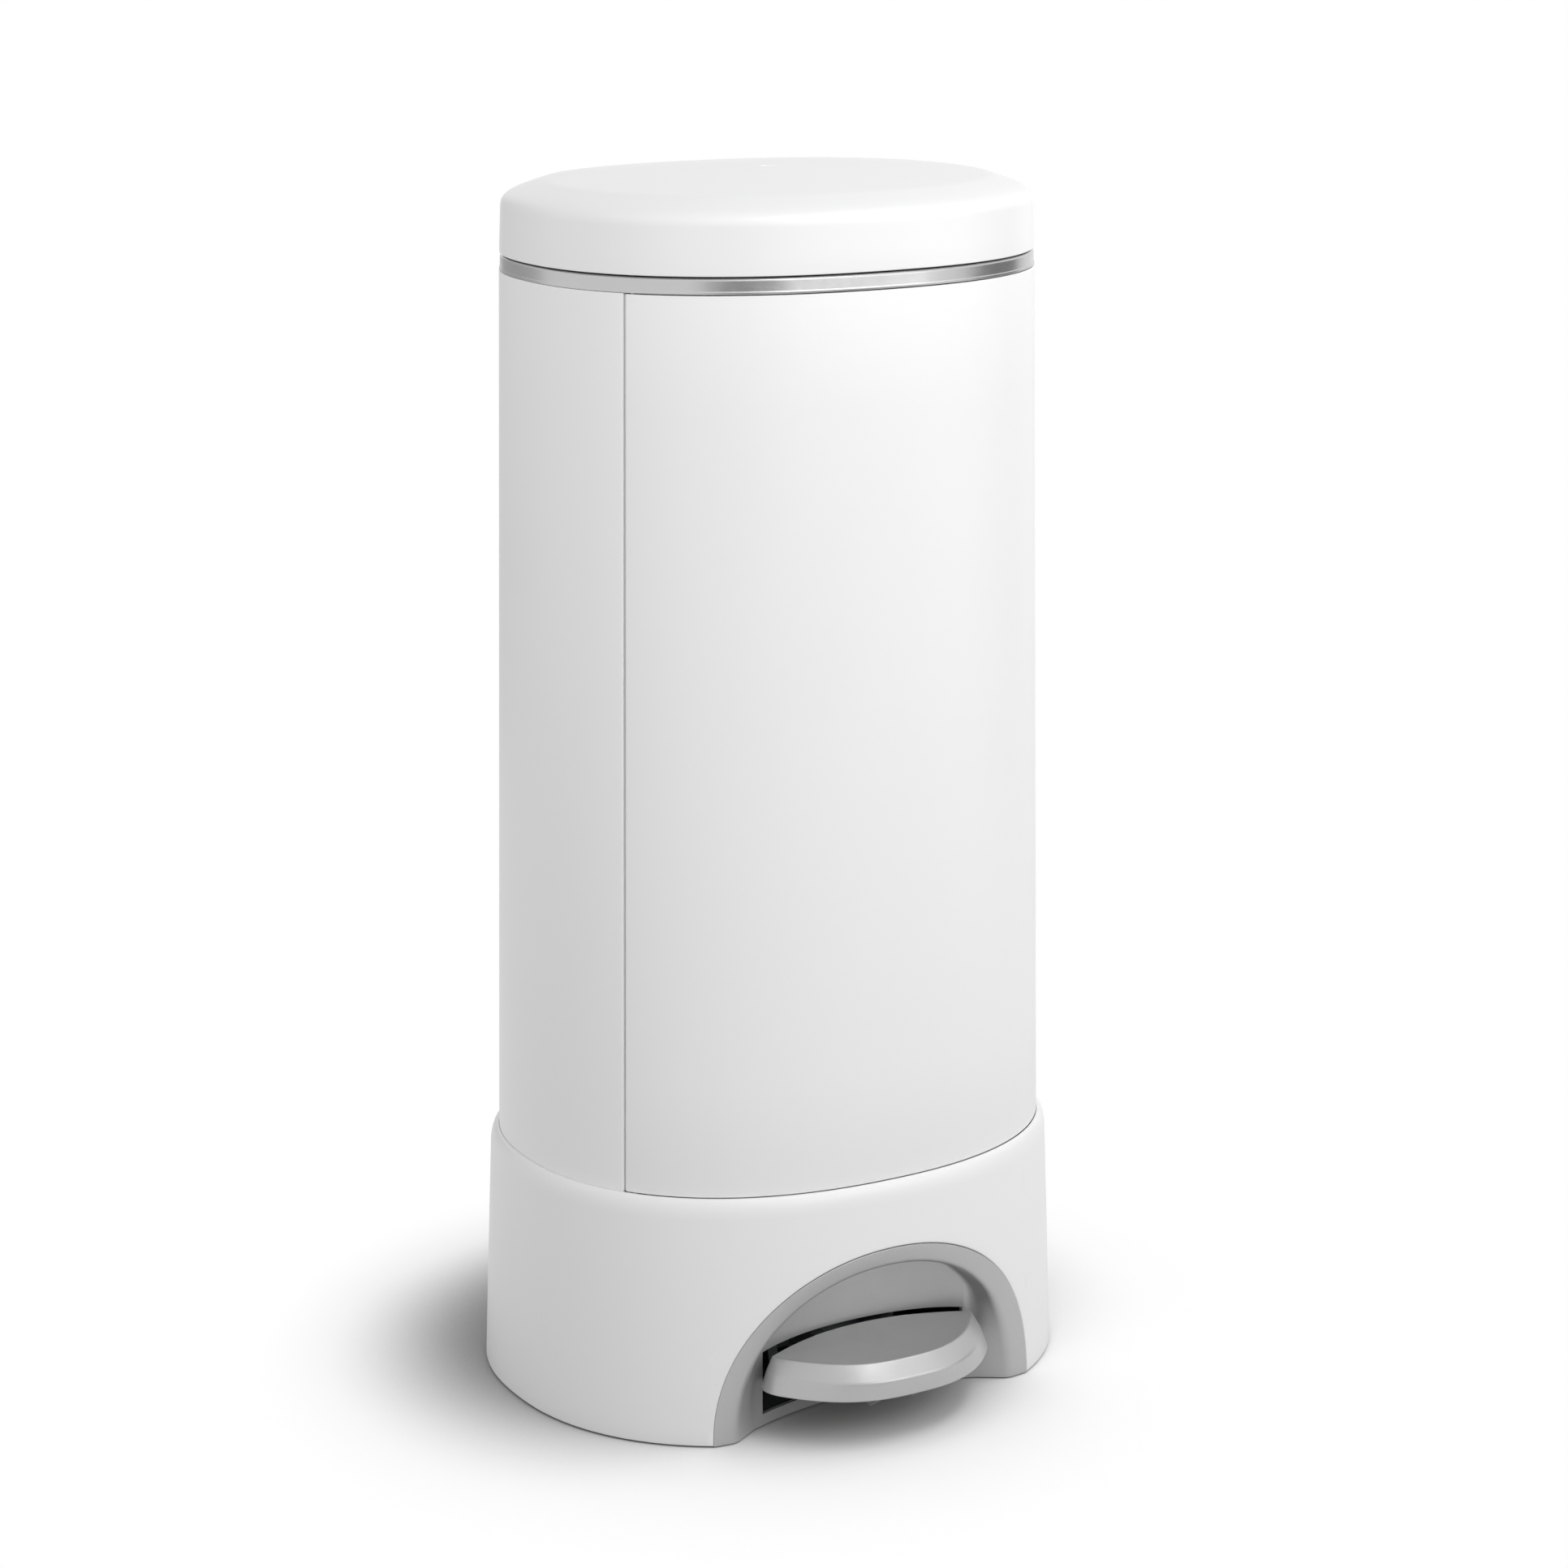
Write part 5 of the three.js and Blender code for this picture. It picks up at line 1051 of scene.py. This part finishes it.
def lid_section(offset, steps):
    """Half section of the lid from its bottom edge to near its middle: side wall, a cubic Bezier corner and
    shoulder, and a parabola crown; the inner face is the same moved in by the offset."""
    wall_inset = LID_INSET + LID_DRAFT
    crease = wall_inset + SHOULDER_WIDTH
    control = np.array(
        [
            [wall_inset + offset, LID_WALL_TOP - offset / 2],
            [wall_inset + offset, LID_WALL_TOP + SHOULDER_HEIGHT * 0.5 - offset],
            [wall_inset + SHOULDER_WIDTH * 0.25 + offset / 2, LID_WALL_TOP + SHOULDER_HEIGHT * 0.62 - offset],
            [crease, CREASE_HEIGHT - offset],
        ]
    )
    t = np.linspace(0, 1, steps)
    weights = np.stack([(1 - t) ** 3, 3 * t * (1 - t) ** 2, 3 * t**2 * (1 - t), t**3], 1)
    share = np.concatenate([np.linspace(1, 0.1, 28)[1:], [0.07, 0.05]])
    height = CREASE_HEIGHT - offset + CROWN_HEIGHT * (1 - share**2)
    crown = np.stack([np.full(len(share), crease), height, share], 1)
    return np.concatenate([np.insert(weights @ control, 2, 1, axis=1), crown])


def lid_shell_part():
    """Lid: bottom edge and outer section, gate mark in the crown's middle, then the inner face back down.
    Loops near the middle shrink to a circle of the mark's size."""
    bottom = eased(
        [
            (LID_INSET + LID_WALL, LID_BOTTOM + 8, 0), (LID_INSET + LID_WALL, LID_BOTTOM, 0.5),
            (LID_INSET, LID_BOTTOM, 0.8), (LID_INSET + 0.4, LID_BOTTOM + 10, 0),
        ]
    )
    inner = lid_section(LID_WALL, 12)
    rows = np.concatenate([inner[::-1], np.insert(bottom, 2, 1, axis=1), lid_section(0, 26)])
    angle = full_turn(360)
    grid = profile_at(rows, angle).transpose(1, 0, 2)
    gate = size("gate_radius")
    crown = CREASE_HEIGHT + CROWN_HEIGHT
    sunk = crown - GATE_DEPTH
    mark = eased([(gate + 0.8, crown, 0), (gate, crown, 0.2), (gate - 0.3, sunk, 0.2), (0.6, sunk, 0)], 3)
    circle = np.stack([np.sin(angle), -np.cos(angle)], 1)
    discs = [np.insert(circle * r, 2, z, axis=1) for r, z in mark]
    return poled_part(np.concatenate([grid, np.array(discs)]), (0, 0, crown - LID_WALL), (0, 0, sunk))


def lid_ear_parts():
    """Hinge ears: a rounded knuckle on the hinge axis with a root that runs into the lid's back wall."""
    turn = np.linspace(-math.pi / 2, math.pi / 2, 16)
    knuckle = np.stack([HINGE_Y + KNUCKLE_RADIUS * np.cos(turn), HINGE_Z + KNUCKLE_RADIUS * np.sin(turn)], 1)
    root = HALF_DEPTH - LID_INSET - 1.5
    foot = np.array([[root, HINGE_Z + KNUCKLE_RADIUS], [root, HINGE_Z - 1.5], [HINGE_Y - 4.6, HINGE_Z - 2]])
    loop = np.concatenate([knuckle, foot])
    return [prism_part(loop, start, start + EAR_WIDTH, 0.5) for start in EAR_STARTS]


class LidShell(bpy.types.Operator):
    """Lid: domed gloss shell with a soft crease round its crown, a gate mark and two hinge ears"""

    bl_idname = "nappy_bin.lid_shell"
    bl_label = "Lid shell"

    def execute(self, context):
        make_piece("lid_shell_moulding", [lid_shell_part(), *lid_ear_parts()], "lid_shell", sharp=45)
        return {"FINISHED"}


class LidGasket(bpy.types.Operator):
    """Gasket: soft rubber ring with a rounded lip, held by the liner's rib"""

    bl_idname = "nappy_bin.lid_gasket"
    bl_label = "Lid gasket"

    def execute(self, context):
        ring = ring_part(profile_at(eased(GASKET_CORNERS), full_turn(240)))
        make_piece("lid_gasket_ring", [ring], "lid_gasket", sharp=60)
        return {"FINISHED"}


# Springs and inner parts

class Springs(bpy.types.Operator):
    """Springs: the lift rod's return spring and the two flap springs, each one unbroken wound wire"""

    bl_idname = "nappy_bin.springs"
    bl_label = "Springs"

    def execute(self, context):
        low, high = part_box("rod_spring")
        wire = ROD_SPRING[1]
        coil = coil_part((0, ROD_Y, low.z / MM + wire), (0, ROD_Y, high.z / MM - wire), *ROD_SPRING)
        spring = make_piece("rod_spring_coil", [coil], "rod_spring", sharp=60)
        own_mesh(spring)
        for x, node in ((-FLAP_X, "flap_spring_left"), (FLAP_X, "flap_spring_right")):
            low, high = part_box(node)
            start, end = low.y / MM - MIDDLE_Y + FLAP_SPRING[1], high.y / MM - MIDDLE_Y - FLAP_SPRING[1]
            coil = coil_part((x, start, FLAP_PIN_Z), (x, end, FLAP_PIN_Z), *FLAP_SPRING)
            make_piece(node + "_coil", [coil], node, sharp=60)
        return {"FINISHED"}


class FrameCopies(bpy.types.Operator):
    """Inner mouldings and metal parts: smoothed copies, with rounded edges, of the nodes still undressed"""

    bl_idname = "nappy_bin.frame_copies"
    bl_label = "Inner parts"

    def execute(self, context):
        for node, slot in slots.items():
            if node not in dressed_nodes:
                detailed_copy(node, NODE_ROUNDS.get(node, SLOT_ROUNDS[slot]))
        return {"FINISHED"}


# Stage

def direction(azimuth, elevation):
    """Unit vector toward an azimuth, counted from +X to +Y, and an elevation, both in degrees."""
    turn, lift = math.radians(azimuth), math.radians(elevation)
    return Vector((math.cos(lift) * math.cos(turn), math.cos(lift) * math.sin(turn), math.sin(lift)))


def add_lamp(name, azimuth, elevation, distance, lamp_size, radiance):
    """Soft rectangular lamp that faces the bin's middle. Its power is radiance x area x pi, so that a
    radiance of 1 looks as bright as plain white."""
    out = direction(azimuth, elevation)
    lamp = bpy.data.lights.new(name, "AREA")
    lamp.shape = "RECTANGLE"
    lamp.size, lamp.size_y = lamp_size
    lamp.energy = radiance * lamp_size[0] * lamp_size[1] * math.pi
    add_object(name, lamp, Vector(LAMP_AIM) + out * distance, -out).visible_camera = False


def floor_material():
    """Pale paper floor: matt. What the camera or a mirror sees of it is whiter, keeps the bin's shadow, and
    runs out to plain white a little way from the bin."""
    material = bpy.data.materials.new("matt_paper_floor")
    tree = empty_tree(material)
    path = add_node(tree, "LightPath")
    seen = (path, "Is Camera Ray")
    for ray in ("Is Glossy Ray", "Is Transmission Ray"):
        seen = (add_node(tree, "Math", [(0, *seen), (1, path, ray)], operation="MAXIMUM"), "Value")
    place = add_node(tree, "TexCoord")
    distance = add_node(tree, "VectorMath", [("Vector", place, "Object")], operation="LENGTH")
    far = add_node(
        tree, "MapRange", [("Value", distance, "Value")], interpolation_type="SMOOTHSTEP",
        in_From_Min=FLOOR_RUN_OUT[0], in_From_Max=FLOOR_RUN_OUT[1],
    )
    # Contact shadow: how open the sky is within a hand's width on the lamps' side, steepened
    toward = add_node(tree, "CombineXYZ", in_X=FLOOR_LEAN[0], in_Y=FLOOR_LEAN[1], in_Z=FLOOR_LEAN[2])
    open_sky = add_node(
        tree, "AmbientOcclusion", [("Normal", toward, "Vector")], in_Distance=FLOOR_REACH, samples=12
    )
    deep = add_node(tree, "Math", [(0, open_sky, "AO")], operation="POWER", in_1=FLOOR_DEPTH)
    bright = add_node(tree, "BsdfDiffuse", [("Color", deep, "Value")])
    left = add_node(tree, "BsdfDiffuse", in_Color=FLOOR_LEFT)
    lifted = add_node(tree, "AddShader", [(0, bright, "BSDF"), (1, left, "BSDF")])
    white = add_node(tree, "Emission", in_Color=WHITE, in_Strength=1.0)
    run_out = add_node(tree, "MixShader", [("Fac", far, "Result"), (1, lifted, "Shader"), (2, white, "Emission")])
    paper = add_node(tree, "BsdfDiffuse", in_Color=colours().floor)
    shown = add_node(tree, "MixShader", [("Fac", *seen), (1, paper, "BSDF"), (2, run_out, "Shader")])
    add_node(tree, "OutputMaterial", [("Surface", shown, "Shader")])
    return material


def studio_world():
    """World: pale light on the bin, even round the horizon and falling overhead, and white for what the
    camera sees of it. A mirror sees it white too, but for the darker gaps between the lamps, each round its
    own direction, as a studio has them."""
    world = bpy.data.worlds.new("studio")
    bpy.context.scene.world = world
    tree = empty_tree(world)
    path = add_node(tree, "LightPath")
    place = add_node(tree, "TexCoord")
    shade_so_far = []
    for azimuth, width, depth in STUDIO_GAPS:
        toward = add_node(
            tree, "VectorMath", [(0, place, "Generated")], operation="DOT_PRODUCT",
            in_1=direction(azimuth, 0),
        )
        gap = add_node(
            tree, "MapRange", [("Value", toward, "Value")], interpolation_type="SMOOTHSTEP",
            in_From_Min=math.cos(math.radians(width)), in_From_Max=math.cos(math.radians(width * 0.4)),
            in_To_Min=1.0, in_To_Max=1.0 - depth,
        )
        shade = add_node(tree, "Math", [(0, gap, "Result"), *shade_so_far], operation="MULTIPLY", in_1=1.0)
        shade_so_far = [(1, shade, "Value")]
    height = add_node(tree, "VectorMath", [(0, place, "Generated")], operation="DOT_PRODUCT", in_1=(0, 0, 1))
    level = add_node(
        tree, "MapRange", [("Value", height, "Value")], in_From_Min=WORLD_FALL_FROM, in_From_Max=1.0,
        in_To_Min=WORLD_LIGHT[0], in_To_Max=WORLD_LIGHT[1],
    )
    soft = add_node(tree, "Background", [("Strength", level, "Result")], in_Color=WHITE)
    mirrored = add_node(tree, "Background", [("Strength", shade, "Value")], in_Color=WHITE)
    white = add_node(tree, "Background", in_Color=WHITE, in_Strength=1.0)
    glossy = add_node(
        tree, "Math", [(0, path, "Is Glossy Ray"), (1, path, "Is Transmission Ray")], operation="MAXIMUM"
    )
    lit = add_node(
        tree, "MixShader", [("Fac", glossy, "Value"), (1, soft, "Background"), (2, mirrored, "Background")]
    )
    shown = add_node(
        tree, "MixShader", [("Fac", path, "Is Camera Ray"), (1, lit, "Shader"), (2, white, "Background")]
    )
    add_node(tree, "OutputWorld", [("Surface", shown, "Shader")])


class Stage(bpy.types.Operator):
    """Stage: pale floor, soft studio lamps, world and the camera at the photograph's viewpoint"""

    bl_idname = "nappy_bin.stage"
    bl_label = "Stage"

    def execute(self, context):
        mesh = bpy.data.meshes.new("studio_floor")
        corners = [(x * FLOOR_HALF, y * FLOOR_HALF, 0) for x, y in ((-1, -1), (1, -1), (1, 1), (-1, 1))]
        mesh.from_pydata(corners, [], [(0, 1, 2, 3)])
        mesh.materials.append(floor_material())
        add_object("studio_floor", mesh)
        studio_world()
        for lamp in STUDIO_LAMPS:
            add_lamp(*lamp)
        camera = bpy.data.cameras.new("camera")
        camera.lens = CAMERA_LENS
        camera.sensor_width = 36
        camera.clip_end = 50
        context.scene.camera = add_object("camera", camera, CAMERA_PLACE, direction(*CAMERA_LOOK))
        context.scene.view_settings.view_transform = "Standard"
        return {"FINISHED"}


OPERATORS = (
    Stage, BaseSkirt, PedalBay, PedalCap, RearShell, FrontDoor, SilverBand, LidShell, LidGasket, Springs, FrameCopies,
)


class NappyBinPanel(bpy.types.Panel):
    """Lists the bin's sizes, colours and the steps that build it."""

    bl_idname = "VIEW3D_PT_nappy_bin"
    bl_label = "Nappy bin"
    bl_space_type = "VIEW_3D"
    bl_region_type = "UI"
    bl_category = "Nappy bin"

    def draw(self, context):
        for group in (context.scene.nappy_bin_sizes, context.scene.nappy_bin_colours):
            for name in group.bl_rna.properties.keys():
                if name not in ("name", "rna_type"):
                    self.layout.prop(group, name)
        for operator in OPERATORS:
            self.layout.operator(operator.bl_idname)


CLASSES = (NappyBinSizes, NappyBinColours, *OPERATORS, NappyBinPanel)


def register():
    """Registers the classes and hangs the two property groups on the scene."""
    for cls in CLASSES:
        bpy.utils.register_class(cls)
    bpy.types.Scene.nappy_bin_sizes = bpy.props.PointerProperty(type=NappyBinSizes)
    bpy.types.Scene.nappy_bin_colours = bpy.props.PointerProperty(type=NappyBinColours)


def unregister():
    """Takes the property groups and the classes away again."""
    del bpy.types.Scene.nappy_bin_colours
    del bpy.types.Scene.nappy_bin_sizes
    for cls in reversed(CLASSES):
        bpy.utils.unregister_class(cls)


def main():
    """Builds the stage and every piece."""
    register()
    for operator in OPERATORS:
        group, name = operator.bl_idname.split(".")
        getattr(getattr(bpy.ops, group), name)()


if __name__ == "__main__":
    main()
